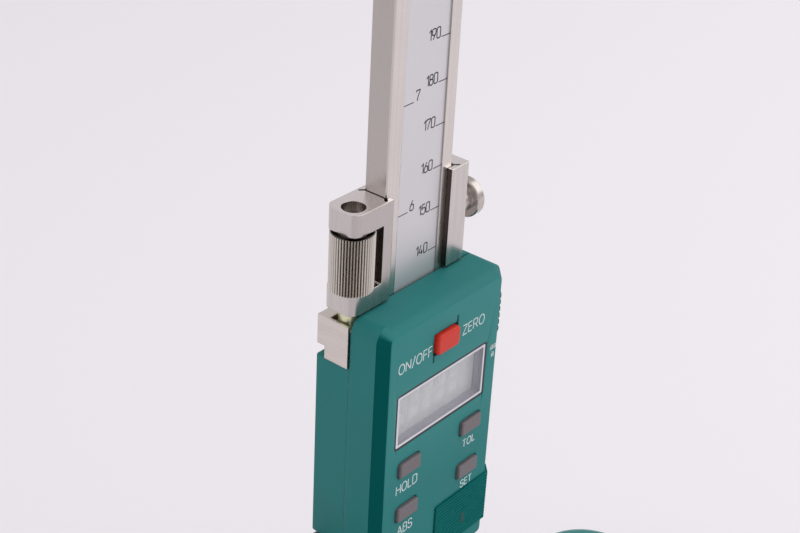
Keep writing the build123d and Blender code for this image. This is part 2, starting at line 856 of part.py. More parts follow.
def make_display_frame():
    """White border whose walls run back to the glass."""
    outer = rounded(display_width, display_height, display_round)
    return along_y(display_place() * (outer - display_opening()), housing_front + display_sunk, lcd_front())


def make_display_window():
    """Clear window inside the border."""
    front = housing_front + display_sunk + window_sunk
    return along_y(display_place() * display_opening(), front, front + window_thickness)


def make_lcd():
    """Liquid crystal module on the board."""
    width = display_width + 2 * lcd_margin
    height = display_height + 2 * lcd_margin
    return along_y(display_place() * Rectangle(width, height), lcd_front(), board_front)


def make_board():
    """Circuit board: cut away at the battery well and at the upper bosses, holes for the lower ones."""
    low = up(board_low)
    step = up(board_step)
    shoulder = up(board_shoulder)
    high = up(board_high)
    points = [
        (-board_half, low), (-board_well_left, low), (-board_well_left, step), (board_half, step),
        (board_half, shoulder), (board_neck, shoulder), (board_neck, high),
        (-board_neck, high), (-board_neck, shoulder), (-board_half, shoulder),
    ]
    outline = make_face(Polyline(*points, close=True))
    outline = fillet(outline.vertices(), board_round)
    board = along_y(outline, board_front, board_back)
    for x, z in frame_screw_places():
        board -= rod_y(boss_radius + board_gap, board_front, board_back, x, z)
    return board


def make_read_head():
    """Pick-up that faces the scale, on the back of the board."""
    outline = rounded(read_head_width, read_head_height, read_head_round)
    outline = Pos(strip_offset, up(read_head_centre)) * outline
    return along_y(outline, board_back, -gap)


def grey_button_places():
    """Centres of the grey buttons, in X and Z."""
    top = up(button_top_row)
    middle = top - button_pitch
    bottom = middle - button_pitch
    return {
        "hold_button": (-button_x, top),
        "tolerance_button": (button_x, top),
        "absolute_button": (-button_x, middle),
        "set_button": (button_x, middle),
        "unit_button": (-button_x, bottom),
    }


def make_button(width, height, corner, proud, crown, x, z):
    """A key with a crowned cap and a flange behind the housing's wall."""
    front = housing_front - proud
    cap = along_y(rounded(width, height, corner), front, housing_inner_front)
    cap = fillet(cap.faces().sort_by(Axis.Y)[0].edges(), crown)
    flange = rounded(width + 2 * (button_flange + seat_gap), height + 2 * (button_flange + seat_gap), corner)
    cap += along_y(flange, housing_inner_front, housing_inner_front + button_flange_thickness)
    return Pos(x, 0, z) * cap


def make_button_mat():
    """Rubber mats with a dome behind each key."""
    top = up(button_top_row)
    middle = top - button_pitch
    bottom = middle - button_pitch
    columns = [
        (-button_x, button_width, button_height, (bottom, middle, top)),
        (button_x, button_width, button_height, (middle, top)),
        (red_x, red_width, red_height, (up(red_z),)),
    ]
    mats = []
    for x, width, height, levels in columns:
        half = width / 2 + mat_margin
        low = levels[0] - height / 2 - mat_margin
        high = levels[-1] + height / 2 + mat_margin
        mat = along_y(frame_rectangle(x - half, x + half, low, high), mat_front, board_front)
        for z in levels:
            place = Pos(x, mat_front - dome_height / 2, z) * Rot(90, 0, 0)
            mat += place * Cone(dome_radius, dome_top_radius, dome_height)
        mats.append(mat)
    return Compound(children=mats)


def make_data_socket():
    """Contact block behind the port cover."""
    right = half_housing - housing_wall - gap
    level = (up(port_low) + up(port_high)) / 2
    return block(right - socket_width, right, board_front - socket_depth, board_front,
                 level - socket_height / 2, level + socket_height / 2)


def make_battery():
    """Button cell: stepped case."""
    front = housing_front + battery_depth
    back = front + battery_thickness
    case = rod_y(battery_radius, front, back - battery_pole, battery_x, up(battery_z))
    case = chamfer(case.faces().sort_by(Axis.Y)[0].edges(), battery_bevel)
    return case + rod_y(battery_radius - battery_step, back - battery_pole, back,
                        battery_x, up(battery_z))


def make_battery_contact():
    """Contact leaf at the bottom of the well."""
    back = housing_front + battery_depth + battery_thickness + contact_thickness
    leaf = rounded(contact_length, contact_width, contact_round)
    return along_y(Pos(battery_x, up(battery_z)) * leaf, back - contact_thickness, back)


def make_battery_cover():
    """Sliding cover with gripping ribs and a tongue along each long edge."""
    cover = along_z(lid_profile(0), up(lid_low), up(lid_high))
    tongue_front = housing_front - lid_proud + lid_thickness - lid_tongue_thickness
    cover += block(lid_left, half_housing - housing_bevel, tongue_front, tongue_front + lid_tongue_thickness,
                   up(lid_low) - lid_tongue, up(lid_high) + lid_tongue)
    front = housing_front - lid_proud
    count = int((lid_high - lid_low) / lid_rib_pitch)
    groove = lid_rib_pitch - lid_rib_width
    for index in range(count):
        low = up(lid_low) + lid_rib_pitch * index + lid_rib_width
        cover -= block(lid_left, half_housing + lid_side_proud, front, front + lid_rib_depth, low, low + groove)
    return cover


def port_profile(proud):
    """A strip of that thickness on the housing's side and bevel, seen from above."""
    reach = port_front - housing_front
    points = [
        (half_housing, port_back), (half_housing, housing_front + housing_bevel),
        (half_housing - housing_bevel + reach, port_front),
        (half_housing - housing_bevel + reach + proud, port_front),
        (half_housing + proud, housing_front + housing_bevel), (half_housing + proud, port_back),
    ]
    return make_face(Polyline(*points, close=True))


def make_port_cover():
    """Ribbed cover that wraps the housing's bevel and pulls out of its side."""
    level = (up(port_low) + up(port_high)) / 2
    plate = along_z(port_profile(port_skin), up(port_low), up(port_high))
    inset = port_plug_inset
    plate += block(half_housing - port_plug_length, half_housing, port_plug_front, port_plug_back,
                   up(port_low) + inset, up(port_high) - inset)
    count = int((port_high - port_low) / port_rib_pitch)
    for index in range(count):
        z = level + (index - (count - 1) / 2) * port_rib_pitch
        plate += along_z(port_profile(port_proud), z - port_rib_width / 2, z + port_rib_width / 2)
    return plate


nodes = {
    "base_casting": make_base(),
    "beam_clamp_plate": make_clamp_plate(),
    "beam_clamp_screws": make_clamp_screws(),
    "beam": make_beam(),
    "scale_strip": make_scale_strip(),
    "beam_top_stop": make_top_stop(),
    "beam_top_stop_screws": make_top_stop_screws(),
    "carriage_block": make_carriage(),
    "carriage_gib": make_carriage_gib(),
    "carriage_lock_knob": make_lock_knob_x(),
    "fine_adjust_nut": make_fine_nut(),
    "adjusting_screw": make_adjusting_screw(),
    "slider_frame": make_slider_frame(),
    "slider_gib": make_slider_gib(),
    "gib_screws": make_gib_screws(),
    "slider_lock_knob": make_lock_knob_y(),
    "frame_screws": make_frame_screws(),
    "scriber": make_scriber(),
    "scriber_tip": make_scriber_tip(),
    "scriber_clamp": make_scriber_clamp(),
    "scriber_clamp_knob": make_clamp_knob(),
    "housing": make_housing(),
    "back_cover": make_back_cover(),
    "back_cover_screws": make_cover_screws(),
    "display_frame": make_display_frame(),
    "display_window": make_display_window(),
    "lcd_module": make_lcd(),
    "circuit_board": make_board(),
    "read_head": make_read_head(),
    "button_mat": make_button_mat(),
    "data_socket": make_data_socket(),
    "on_off_zero_button": make_button(red_width, red_height, red_round, red_proud, red_crown,
                                      red_x, up(red_z)),
    "battery": make_battery(),
    "battery_contact": make_battery_contact(),
    "battery_cover": make_battery_cover(),
    "port_cover": make_port_cover(),
}
for name, (x, z) in grey_button_places().items():
    nodes[name] = make_button(button_width, button_height, button_round, button_proud, button_crown, x, z)

os.makedirs("parts", exist_ok=True)
for name, shape in nodes.items():
    export_step(shape, "parts/" + name + ".step")
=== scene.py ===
import math

import bmesh
import bpy
from mathutils import Matrix, Vector


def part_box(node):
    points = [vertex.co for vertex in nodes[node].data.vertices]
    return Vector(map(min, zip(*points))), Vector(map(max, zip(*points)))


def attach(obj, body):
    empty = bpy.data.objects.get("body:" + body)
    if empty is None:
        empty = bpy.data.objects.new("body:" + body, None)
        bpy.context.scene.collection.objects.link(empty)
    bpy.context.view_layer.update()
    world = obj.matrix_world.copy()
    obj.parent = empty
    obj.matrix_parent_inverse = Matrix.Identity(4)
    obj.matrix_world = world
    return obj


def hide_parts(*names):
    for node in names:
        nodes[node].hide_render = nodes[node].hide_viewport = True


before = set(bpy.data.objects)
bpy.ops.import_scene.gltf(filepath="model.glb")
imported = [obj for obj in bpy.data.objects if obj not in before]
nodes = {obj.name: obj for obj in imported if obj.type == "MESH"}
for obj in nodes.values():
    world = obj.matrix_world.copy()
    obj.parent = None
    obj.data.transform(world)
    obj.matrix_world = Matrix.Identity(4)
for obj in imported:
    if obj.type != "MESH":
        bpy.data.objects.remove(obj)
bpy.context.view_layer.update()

# Every length is in metres. One millimetre:
MM = 0.001

# Where the slider stands at rest, from the solids
HOUSING_LOW, HOUSING_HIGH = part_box("housing")
STRIP_LOW, STRIP_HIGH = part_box("scale_strip")
NUT_LOW, NUT_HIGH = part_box("fine_adjust_nut")
LCD_LOW, LCD_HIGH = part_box("lcd_module")
CARRIAGE_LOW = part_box("carriage_block")[0]
NUT_MIDDLE = (NUT_LOW + NUT_HIGH) / 2
NUT_RADIUS = (NUT_HIGH.x - NUT_LOW.x) / 2
# Level above which the adjusting screw is painted dark, as shade inside the carriage's bore
UP_FROM = CARRIAGE_LOW.z + 0.3 * MM
SLIDER_FOOT = HOUSING_LOW.z
FRONT = HOUSING_LOW.y
SCALE_ZERO = 45 * MM            # the printed scale's zero, above the surface plate


# ------------------------------------------------------------------ node helpers

def add_node(tree, kind, inputs=None, **settings):
    """A node with its settings and unlinked input values."""
    node = tree.nodes.new(kind)
    for name, value in settings.items():
        setattr(node, name, value)
    for name, value in (inputs or {}).items():
        node.inputs[name].default_value = value
    return node


def join(tree, *pairs):
    """Links each (output, input) pair."""
    for output, target in pairs:
        tree.links.new(output, target)


def new_group(name, kind, inputs, outputs):
    """A node group with named sockets; each socket is (name, type, default or None)."""
    tree = bpy.data.node_groups.new(name, kind)
    for direction, sockets in (("INPUT", inputs), ("OUTPUT", outputs)):
        for label, socket_type, value in sockets:
            socket = tree.interface.new_socket(label, in_out=direction, socket_type=socket_type)
            if value is not None:
                socket.default_value = value
    start = tree.nodes.new("NodeGroupInput")
    end = tree.nodes.new("NodeGroupOutput")
    return tree, start, end


def use_group(tree, group, **values):
    """A group placed in a material with its own values."""
    node = tree.nodes.new("ShaderNodeGroup")
    node.node_tree = group
    for name, value in values.items():
        node.inputs[name.replace("_", " ")].default_value = value
    return node


# ------------------------------------------------------------------ shared surface effects

FLOAT = "NodeSocketFloat"
VECTOR = "NodeSocketVector"


def make_brushed_group():
    """Fine parallel grinding lines. Stretch sets their direction: small along the lines."""
    group, start, end = new_group(
        "grinding_lines", "ShaderNodeTree",
        [("Stretch", VECTOR, (900, 900, 12)), ("Low Roughness", FLOAT, 0.22),
         ("High Roughness", FLOAT, 0.42), ("Light Tone", FLOAT, 1.0), ("Dark Tone", FLOAT, 0.86)],
        [("Height", FLOAT, None), ("Roughness", FLOAT, None), ("Tone", FLOAT, None)])
    where = add_node(group, "ShaderNodeTexCoord")
    stretch = add_node(group, "ShaderNodeVectorMath", operation="MULTIPLY")
    lines = add_node(group, "ShaderNodeTexNoise", {"Scale": 1.0, "Detail": 4.0, "Roughness": 0.65})
    clouds = add_node(group, "ShaderNodeTexNoise", {"Scale": 55.0, "Detail": 2.0})
    both = add_node(group, "ShaderNodeMath", {1: 0.7}, operation="MULTIPLY_ADD")
    less = add_node(group, "ShaderNodeMath", {1: 0.3}, operation="MULTIPLY")
    rough = add_node(group, "ShaderNodeMapRange", {"From Min": 0.32, "From Max": 0.68})
    tone = add_node(group, "ShaderNodeMapRange", {"From Min": 0.3, "From Max": 0.62})
    join(group,
         (where.outputs["Object"], stretch.inputs[0]), (start.outputs["Stretch"], stretch.inputs[1]),
         (stretch.outputs[0], lines.inputs["Vector"]), (where.outputs["Object"], clouds.inputs["Vector"]),
         (clouds.outputs["Fac"], less.inputs[0]),
         (lines.outputs["Fac"], both.inputs[0]), (less.outputs[0], both.inputs[2]),
         (both.outputs[0], rough.inputs["Value"]), (both.outputs[0], tone.inputs["Value"]),
         (start.outputs["Low Roughness"], rough.inputs["To Min"]),
         (start.outputs["High Roughness"], rough.inputs["To Max"]),
         (start.outputs["Dark Tone"], tone.inputs["To Min"]),
         (start.outputs["Light Tone"], tone.inputs["To Max"]),
         (lines.outputs["Fac"], end.inputs["Height"]), (rough.outputs[0], end.inputs["Roughness"]),
         (tone.outputs[0], end.inputs["Tone"]))
    return group


def make_grain_group():
    """Fine pitted grain of spark-eroded mouldings, castings and frosted coatings."""
    group, start, end = new_group(
        "fine_grain", "ShaderNodeTree",
        [("Grain Scale", FLOAT, 5200.0), ("Cloud Scale", FLOAT, 45.0),
         ("Low Roughness", FLOAT, 0.42), ("High Roughness", FLOAT, 0.56),
         ("Dark Tone", FLOAT, 0.93), ("Light Tone", FLOAT, 1.05)],
        [("Height", FLOAT, None), ("Roughness", FLOAT, None), ("Tone", FLOAT, None)])
    where = add_node(group, "ShaderNodeTexCoord")
    grain = add_node(group, "ShaderNodeTexNoise", {"Detail": 2.0, "Roughness": 0.6})
    clouds = add_node(group, "ShaderNodeTexNoise", {"Detail": 3.0, "Roughness": 0.55})
    rough = add_node(group, "ShaderNodeMapRange", {"From Min": 0.35, "From Max": 0.65})
    tone = add_node(group, "ShaderNodeMapRange", {"From Min": 0.3, "From Max": 0.7})
    join(group,
         (where.outputs["Object"], grain.inputs["Vector"]),
         (where.outputs["Object"], clouds.inputs["Vector"]),
         (start.outputs["Grain Scale"], grain.inputs["Scale"]),
         (start.outputs["Cloud Scale"], clouds.inputs["Scale"]),
         (clouds.outputs["Fac"], rough.inputs["Value"]), (clouds.outputs["Fac"], tone.inputs["Value"]),
         (start.outputs["Low Roughness"], rough.inputs["To Min"]),
         (start.outputs["High Roughness"], rough.inputs["To Max"]),
         (start.outputs["Dark Tone"], tone.inputs["To Min"]),
         (start.outputs["Light Tone"], tone.inputs["To Max"]),
         (grain.outputs["Fac"], end.inputs["Height"]), (rough.outputs[0], end.inputs["Roughness"]),
         (tone.outputs[0], end.inputs["Tone"]))
    return group


def make_edge_group():
    """Mask of rubbed edges: where a bevelled normal leaves the true one, broken up by noise."""
    group, start, end = new_group(
        "edge_wear", "ShaderNodeTree",
        [("Radius", FLOAT, 0.0003), ("Wear", FLOAT, 0.6), ("Patch Scale", FLOAT, 900.0)],
        [("Mask", FLOAT, None), ("Normal", VECTOR, None)])
    bevel = add_node(group, "ShaderNodeBevel", samples=6)
    shape = add_node(group, "ShaderNodeNewGeometry")
    where = add_node(group, "ShaderNodeTexCoord")
    dot = add_node(group, "ShaderNodeVectorMath", operation="DOT_PRODUCT")
    edge = add_node(group, "ShaderNodeMapRange",
                    {"From Min": 0.995, "From Max": 0.88, "To Min": 0.0, "To Max": 1.0})
    patches = add_node(group, "ShaderNodeTexNoise", {"Detail": 3.0})
    broken = add_node(group, "ShaderNodeMapRange", {"From Min": 0.35, "From Max": 0.6})
    amount = add_node(group, "ShaderNodeMath", operation="MULTIPLY")
    mask = add_node(group, "ShaderNodeMath", operation="MULTIPLY")
    join(group,
         (start.outputs["Radius"], bevel.inputs["Radius"]),
         (bevel.outputs["Normal"], dot.inputs[0]), (shape.outputs["Normal"], dot.inputs[1]),
         (dot.outputs["Value"], edge.inputs["Value"]),
         (where.outputs["Object"], patches.inputs["Vector"]),
         (start.outputs["Patch Scale"], patches.inputs["Scale"]),
         (patches.outputs["Fac"], broken.inputs["Value"]),
         (broken.outputs[0], amount.inputs[0]), (start.outputs["Wear"], amount.inputs[1]),
         (edge.outputs[0], mask.inputs[0]), (amount.outputs[0], mask.inputs[1]),
         (mask.outputs[0], end.inputs["Mask"]), (bevel.outputs["Normal"], end.inputs["Normal"]))
    return group


BRUSHED = make_brushed_group()
GRAIN = make_grain_group()
EDGES = make_edge_group()


# ------------------------------------------------------------------ materials

def tinted(tree, tone, color):
    """The colour times a tone from 0 to about 1."""
    mix = add_node(tree, "ShaderNodeMix", data_type="RGBA", blend_type="MULTIPLY")
    mix.inputs["Factor"].default_value = 1.0
    mix.inputs[6].default_value = (*color, 1.0)
    join(tree, (tone, mix.inputs[7]))
    return mix.outputs[2]


def rubbed(tree, mask, color, bright):
    """The colour, with another one where the mask is: rubbed wear, the display's seal, and painted light and
    shade through repaint.
    """
    mix = add_node(tree, "ShaderNodeMix", data_type="RGBA")
    mix.inputs[7].default_value = (*bright, 1.0)
    join(tree, (mask, mix.inputs["Factor"]), (color, mix.inputs[6]))
    return mix.outputs[2]


def make_material(name, color, effect, edge=0.0002, wear=0.5, rubbed_color=None, bump=0.00001,
                  metallic=0.0, specular=0.5, coat=0.0, anisotropic=0.0, **values):
    """A Principled material over one of the shared effects, with eased and rubbed edges."""
    material = bpy.data.materials.new(name)
    material.use_nodes = True
    tree = material.node_tree
    surface = tree.nodes["Principled BSDF"]
    surface.inputs["Metallic"].default_value = metallic
    surface.inputs["Specular IOR Level"].default_value = specular
    surface.inputs["Coat Weight"].default_value = coat
    surface.inputs["Anisotropic"].default_value = anisotropic
    look = use_group(tree, effect, **values)
    edges = use_group(tree, EDGES, Radius=edge, Wear=wear)
    relief = add_node(tree, "ShaderNodeBump", {"Strength": 1.0, "Distance": bump})
    paint = tinted(tree, look.outputs["Tone"], color)
    if rubbed_color:
        paint = rubbed(tree, edges.outputs["Mask"], paint, rubbed_color)
    join(tree, (paint, surface.inputs["Base Color"]),
         (look.outputs["Roughness"], surface.inputs["Roughness"]),
         (look.outputs["Height"], relief.inputs["Height"]),
         (edges.outputs["Normal"], relief.inputs["Normal"]),
         (relief.outputs["Normal"], surface.inputs["Normal"]))
    return material


def axes_of(tree, node, output):
    """The X, Y and Z of the surface's normal or of the place on the piece."""
    source = add_node(tree, node)
    apart = add_node(tree, "ShaderNodeSeparateXYZ")
    join(tree, (source.outputs[output], apart.inputs[0]))
    return apart.outputs


def facing_of(tree):
    return axes_of(tree, "ShaderNodeNewGeometry", "Normal")


def place_of(tree):
    return axes_of(tree, "ShaderNodeTexCoord", "Object")


def sized(tree, value):
    """A value without its sign."""
    size = add_node(tree, "ShaderNodeMath", operation="ABSOLUTE")
    join(tree, (value, size.inputs[0]))
    return size.outputs[0]


def ramp(tree, value, first, last, low=0.0, high=1.0):
    """Goes from low to high while the value goes from first to last."""
    slope = add_node(tree, "ShaderNodeMapRange",
                     {"From Min": first, "From Max": last, "To Min": low, "To Max": high})
    join(tree, (value, slope.inputs["Value"]))
    return slope.outputs[0]


def product(tree, first, second):
    both = add_node(tree, "ShaderNodeMath", operation="MULTIPLY")
    join(tree, (first, both.inputs[0]), (second, both.inputs[1]))
    return both.outputs[0]


def between(tree, value, low, high, soft):
    """A mask of the values between two limits."""
    return product(tree, ramp(tree, value, low - soft, low), ramp(tree, value, high, high + soft, 1.0, 0.0))


def repaint(material, mask, color):
    """Lays another colour over the material's own where the mask is: painted light and shade, and the
    grooves' dirt and shade.
    """
    surface = material.node_tree.nodes["Principled BSDF"]
    paint = surface.inputs["Base Color"].links[0].from_socket
    join(material.node_tree, (rubbed(material.node_tree, mask, paint, color), surface.inputs["Base Color"]))


def polish_bevels(material, color):
    """Paints the upright bevels, between the front and the sides, a darker teal as painted shade, and lowers
    their specular level.
    """
    tree = material.node_tree
    facing = facing_of(tree)
    slanted = ramp(tree, sized(tree, product(tree, facing["X"], facing["Y"])), 0.28, 0.42)
    repaint(material, slanted, color)
    surface = tree.nodes["Principled BSDF"]
    join(tree, (ramp(tree, slanted, 0.0, 1.0, 0.2, 0.02), surface.inputs["Specular IOR Level"]))


def darken_sides(material, shade):
    """Ground faces that look along X are painted a shade darker: painted shade, as they reflect darker
    surroundings than the front.
    """
    tree = material.node_tree
    repaint(material, ramp(tree, sized(tree, facing_of(tree)["X"]), 0.6, 0.9), shade)


def steel_above(material, level, color):
    """Paints the screw dark above that level, where it runs inside the carriage's bore: painted shade."""
    tree = material.node_tree
    repaint(material, between(tree, place_of(tree)["Z"], level, 1.0, 0.3 * MM), color)


def tone_faces(material, axis, low, high, color, along="X", first=-1.0, last=1.0, soft=1.0 * MM, blend=0.2):
    """Painted light and shade by facing: another tone for the faces whose normal lies between two limits, and
    for one stretch along an axis.
    """
    tree = material.node_tree
    faces = between(tree, facing_of(tree)[axis], low, high, blend)
    repaint(material, product(tree, faces, between(tree, place_of(tree)[along], first, last, soft)), color)


def darken_slot(material, x, color):
    """The milled wall that looks along -X at that place along X is painted dark: painted shade of a wall in a
    narrow gap.
    """
    reach = 0.15 * MM
    tone_faces(material, "X", -2.0, -0.8, color, "X", x - reach, x + reach, 0.1 * MM, 0.1)


def groove_shade(material, centre, inner, outer, color):
    """Dirt and shade in the grooves of a knurl: deeper than inner is dark, outer is bare metal."""
    tree = material.node_tree
    where = add_node(tree, "ShaderNodeTexCoord")
    off = add_node(tree, "ShaderNodeVectorMath", {1: (centre.x, centre.y, 0.0)}, operation="SUBTRACT")
    flat = add_node(tree, "ShaderNodeVectorMath", {1: (1.0, 1.0, 0.0)}, operation="MULTIPLY")
    far = add_node(tree, "ShaderNodeVectorMath", operation="LENGTH")
    deep = add_node(tree, "ShaderNodeMapRange",
                    {"From Min": inner, "From Max": outer, "To Min": 1.0, "To Max": 0.0})
    join(tree, (where.outputs["Object"], off.inputs[0]), (off.outputs[0], flat.inputs[0]),
         (flat.outputs[0], far.inputs[0]), (far.outputs["Value"], deep.inputs["Value"]))
    repaint(material, deep.outputs[0], color)


def knurl_rim(material, middle, axis, least, teeth, depth, color):
    """Straight knurling round a knob: a wave by the angle about the knob's axis, beyond a least radius; its
    grooves are painted dark as shade.
    """
    tree = material.node_tree
    surface = tree.nodes["Principled BSDF"]
    first, second = [name for name in "XYZ" if name != axis]
    where = add_node(tree, "ShaderNodeTexCoord")
    centred = add_node(tree, "ShaderNodeMapping", {"Location": tuple(-middle)})
    apart = add_node(tree, "ShaderNodeSeparateXYZ")
    angle = add_node(tree, "ShaderNodeMath", operation="ARCTAN2")
    count = add_node(tree, "ShaderNodeMath", {1: float(teeth)}, operation="MULTIPLY")
    wave = add_node(tree, "ShaderNodeMath", operation="SINE")
    plane = add_node(tree, "ShaderNodeCombineXYZ")
    far = add_node(tree, "ShaderNodeVectorMath", operation="LENGTH")
    groove = add_node(tree, "ShaderNodeMapRange", {"From Min": 0.1, "From Max": -0.8})
    both = add_node(tree, "ShaderNodeMath", operation="MULTIPLY")
    relief = add_node(tree, "ShaderNodeBump", {"Distance": depth})
    join(tree, (where.outputs["Object"], centred.inputs["Vector"]), (centred.outputs[0], apart.inputs[0]),
         (apart.outputs[first], angle.inputs[0]), (apart.outputs[second], angle.inputs[1]),
         (angle.outputs[0], count.inputs[0]), (count.outputs[0], wave.inputs[0]),
         (apart.outputs[first], plane.inputs["X"]), (apart.outputs[second], plane.inputs["Y"]),
         (plane.outputs[0], far.inputs[0]), (wave.outputs[0], groove.inputs["Value"]))
    rim = between(tree, far.outputs["Value"], least, 1.0, 0.05 * MM)
    join(tree, (groove.outputs[0], both.inputs[0]), (rim, both.inputs[1]),
         (both.outputs[0], relief.inputs["Height"]),
         (surface.inputs["Normal"].links[0].from_socket, relief.inputs["Normal"]))
    relief.invert = True
    join(tree, (relief.outputs["Normal"], surface.inputs["Normal"]))
    # Painted shade: the grooves of the knurl are dark.
    repaint(material, both.outputs[0], color)


def shade_walls(material, color):
    """A frame whose walls, which run back from its front, are painted another colour: painted shade."""
    tree = material.node_tree
    repaint(material, ramp(tree, sized(tree, facing_of(tree)["Y"]), 0.3, 0.7, 1.0, 0.0), color)


def make_steel(name, color, edge, wear, bump, stretch, low, high, **values):
    """Bare steel that was ground, milled or turned: the stretch gives the lines their direction."""
    return make_material(name, color, BRUSHED, edge, wear, BRIGHT, bump, metallic=1.0, Stretch=stretch,
                         Low_Roughness=low, High_Roughness=high, **values)


ALONG_Z = (1500.0, 1500.0, 22.0)
ALONG_X = (22.0, 1500.0, 1500.0)
BLOCK_LINES = (900.0, 900.0, 60.0)
TURNED_LINES = (140.0, 140.0, 140.0)
TURNED = (0.72, 0.68, 0.62)
STEEL = (0.70, 0.655, 0.62)
BRIGHT = (0.86, 0.83, 0.80)
TEAL = (0.017, 0.180, 0.175)
# Darker teal painted on the housing's upright bevels: painted shade
TEAL_BEVEL_SHADE = (0.001, 0.085, 0.080)
TEAL_RUBBED = (0.10, 0.32, 0.30)

beam_steel = make_steel("ground_beam_steel", STEEL, 0.00025, 0.5, 0.000006, ALONG_Z, 0.2, 0.36,
                        anisotropic=0.4)
# Painted shade: the beam's sides, which look along X, are darker.
darken_sides(beam_steel, (0.50, 0.465, 0.44))
block_steel = make_steel("ground_block_steel", STEEL, 0.00035, 0.5, 0.000006, BLOCK_LINES, 0.2, 0.34,
                         anisotropic=0.3)
fork_steel = make_steel("ground_fork_steel", (0.64, 0.60, 0.575), 0.00025, 0.5, 0.000005, BLOCK_LINES,
                        0.18, 0.32,
                        anisotropic=0.3)
# Painted shade: the carriage's front faces left of x = -9 mm are darker.
tone_faces(fork_steel, "Y", -2.0, -0.5, (0.50, 0.462, 0.445), last=-9.0 * MM)
# Painted light: the carriage's faces that look up are lighter.
tone_faces(fork_steel, "Z", 0.9, 2.0, (0.80, 0.74, 0.73))
# Painted shade: two narrow slot walls of the carriage are dark.
darken_slot(fork_steel, -12.9 * MM, (0.15, 0.12, 0.105))
darken_slot(fork_steel, 9.5 * MM, (0.085, 0.07, 0.062))
frame_steel = make_steel("ground_frame_steel", (0.72, 0.665, 0.615), 0.0003, 0.5, 0.000006,
                         (60.0, 60.0, 1300.0),
                         0.22, 0.38, anisotropic=0.3)
bar_steel = make_steel("ground_bar_steel", STEEL, 0.0003, 0.5, 0.000006, ALONG_X, 0.24, 0.42, anisotropic=0.3)
turned_steel = make_steel("turned_steel", TURNED, 0.00012, 0.6, 0.000004, TURNED_LINES, 0.2, 0.3)
strip_metal = make_material("satin_strip", (0.66, 0.645, 0.665), GRAIN, 0.0001, 0.3, BRIGHT, 0.000006,
                            metallic=0.6, Grain_Scale=4200.0, Cloud_Scale=30.0, Low_Roughness=0.38,
                            High_Roughness=0.44, Dark_Tone=0.97, Light_Tone=1.02)
black_steel = make_material("blackened_steel", (0.035, 0.034, 0.036), BRUSHED, 0.0002, 0.8,
                            (0.30, 0.29, 0.28), 0.000004, metallic=0.7, Stretch=(700.0, 700.0, 700.0),
                            Low_Roughness=0.32, High_Roughness=0.5)
# Painted shade: dark brown steel for the nut's collar, which sits in the shaded gap under the carriage's arm.
collar_shade_steel = make_material("collar_shade_steel", (0.30, 0.27, 0.24), BRUSHED, 0.0001, 0.5, STEEL, 0.000003,
                           metallic=1.0, Stretch=(500.0, 500.0, 500.0), Low_Roughness=0.25,
                           High_Roughness=0.4)
brass = make_material("brass", (0.72, 0.53, 0.25), BRUSHED, 0.0002, 0.4, (0.85, 0.68, 0.38), 0.000004,
                      metallic=1.0, Stretch=ALONG_Z, Low_Roughness=0.25, High_Roughness=0.45)


def make_knob_steel(name, node, axis, radius):
    """Turned steel with a knurled rim, whose grooves are painted dark as shade, for one knob."""
    low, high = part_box(node)
    material = make_steel(name, TURNED, 0.00012, 0.6, 0.000003, TURNED_LINES, 0.2, 0.3)
    knurl_rim(material, (low + high) / 2, axis, radius - 0.06 * MM, 40, 0.25 * MM, (0.10, 0.09, 0.08))
    return material


# Painted shade: a darker tone than the other turned steel, for the carriage lock knob, whose face lies in the
# block's shade.
knob_steel = make_steel("turned_knob_steel", (0.54, 0.50, 0.47), 0.00012, 0.6, 0.000004, TURNED_LINES,
                        0.2, 0.3)
slider_knob_steel = make_knob_steel("slider_knob_steel", "slider_lock_knob", "Y", 6.0 * MM)
clamp_knob_steel = make_knob_steel("clamp_knob_steel", "scriber_clamp_knob", "Z", 7.0 * MM)
zinc = make_material("yellow_zinc", (0.80, 0.80, 0.52), BRUSHED, 0.0001, 0.4, (0.88, 0.88, 0.70), 0.000003,
                     metallic=0.85, Stretch=(300.0, 300.0, 300.0), Low_Roughness=0.25,
                     High_Roughness=0.4)
carbide = make_material("ground_carbide", (0.30, 0.30, 0.32), BRUSHED, 0.0001, 0.4, (0.5, 0.5, 0.52),
                        0.000002,
                        metallic=0.9, Stretch=(900.0, 60.0, 900.0), Low_Roughness=0.2,
                        High_Roughness=0.34)
# Painted shade: the yellow screw is dark above the carriage's lower face, inside its bore.
steel_above(zinc, UP_FROM, (0.30, 0.28, 0.25))
knurl_steel = make_material("knurled_steel", (0.70, 0.655, 0.585), BRUSHED, 0.00002, 0.8, BRIGHT, 0.000002,
                            metallic=1.0, Stretch=(900.0, 900.0, 40.0), Low_Roughness=0.2,
                            High_Roughness=0.3, Dark_Tone=0.85)
groove_shade(knurl_steel, NUT_MIDDLE, NUT_RADIUS - 0.42 * MM, NUT_RADIUS - 0.08 * MM, (0.045, 0.04, 0.035))
nickel = make_material("nickel", (0.74, 0.72, 0.69), BRUSHED, 0.0001, 0.3, BRIGHT, 0.000002, metallic=1.0,
                       Stretch=(250.0, 900.0, 250.0), Low_Roughness=0.15, High_Roughness=0.3)
moulded_teal = make_material("moulded_teal", TEAL, GRAIN, 0.0008, 0.25, TEAL_RUBBED, 0.000008,
                             specular=0.2, Low_Roughness=0.44, High_Roughness=0.56)
# Painted shade: the housing's upright bevels are a darker teal.
polish_bevels(moulded_teal, TEAL_BEVEL_SHADE)
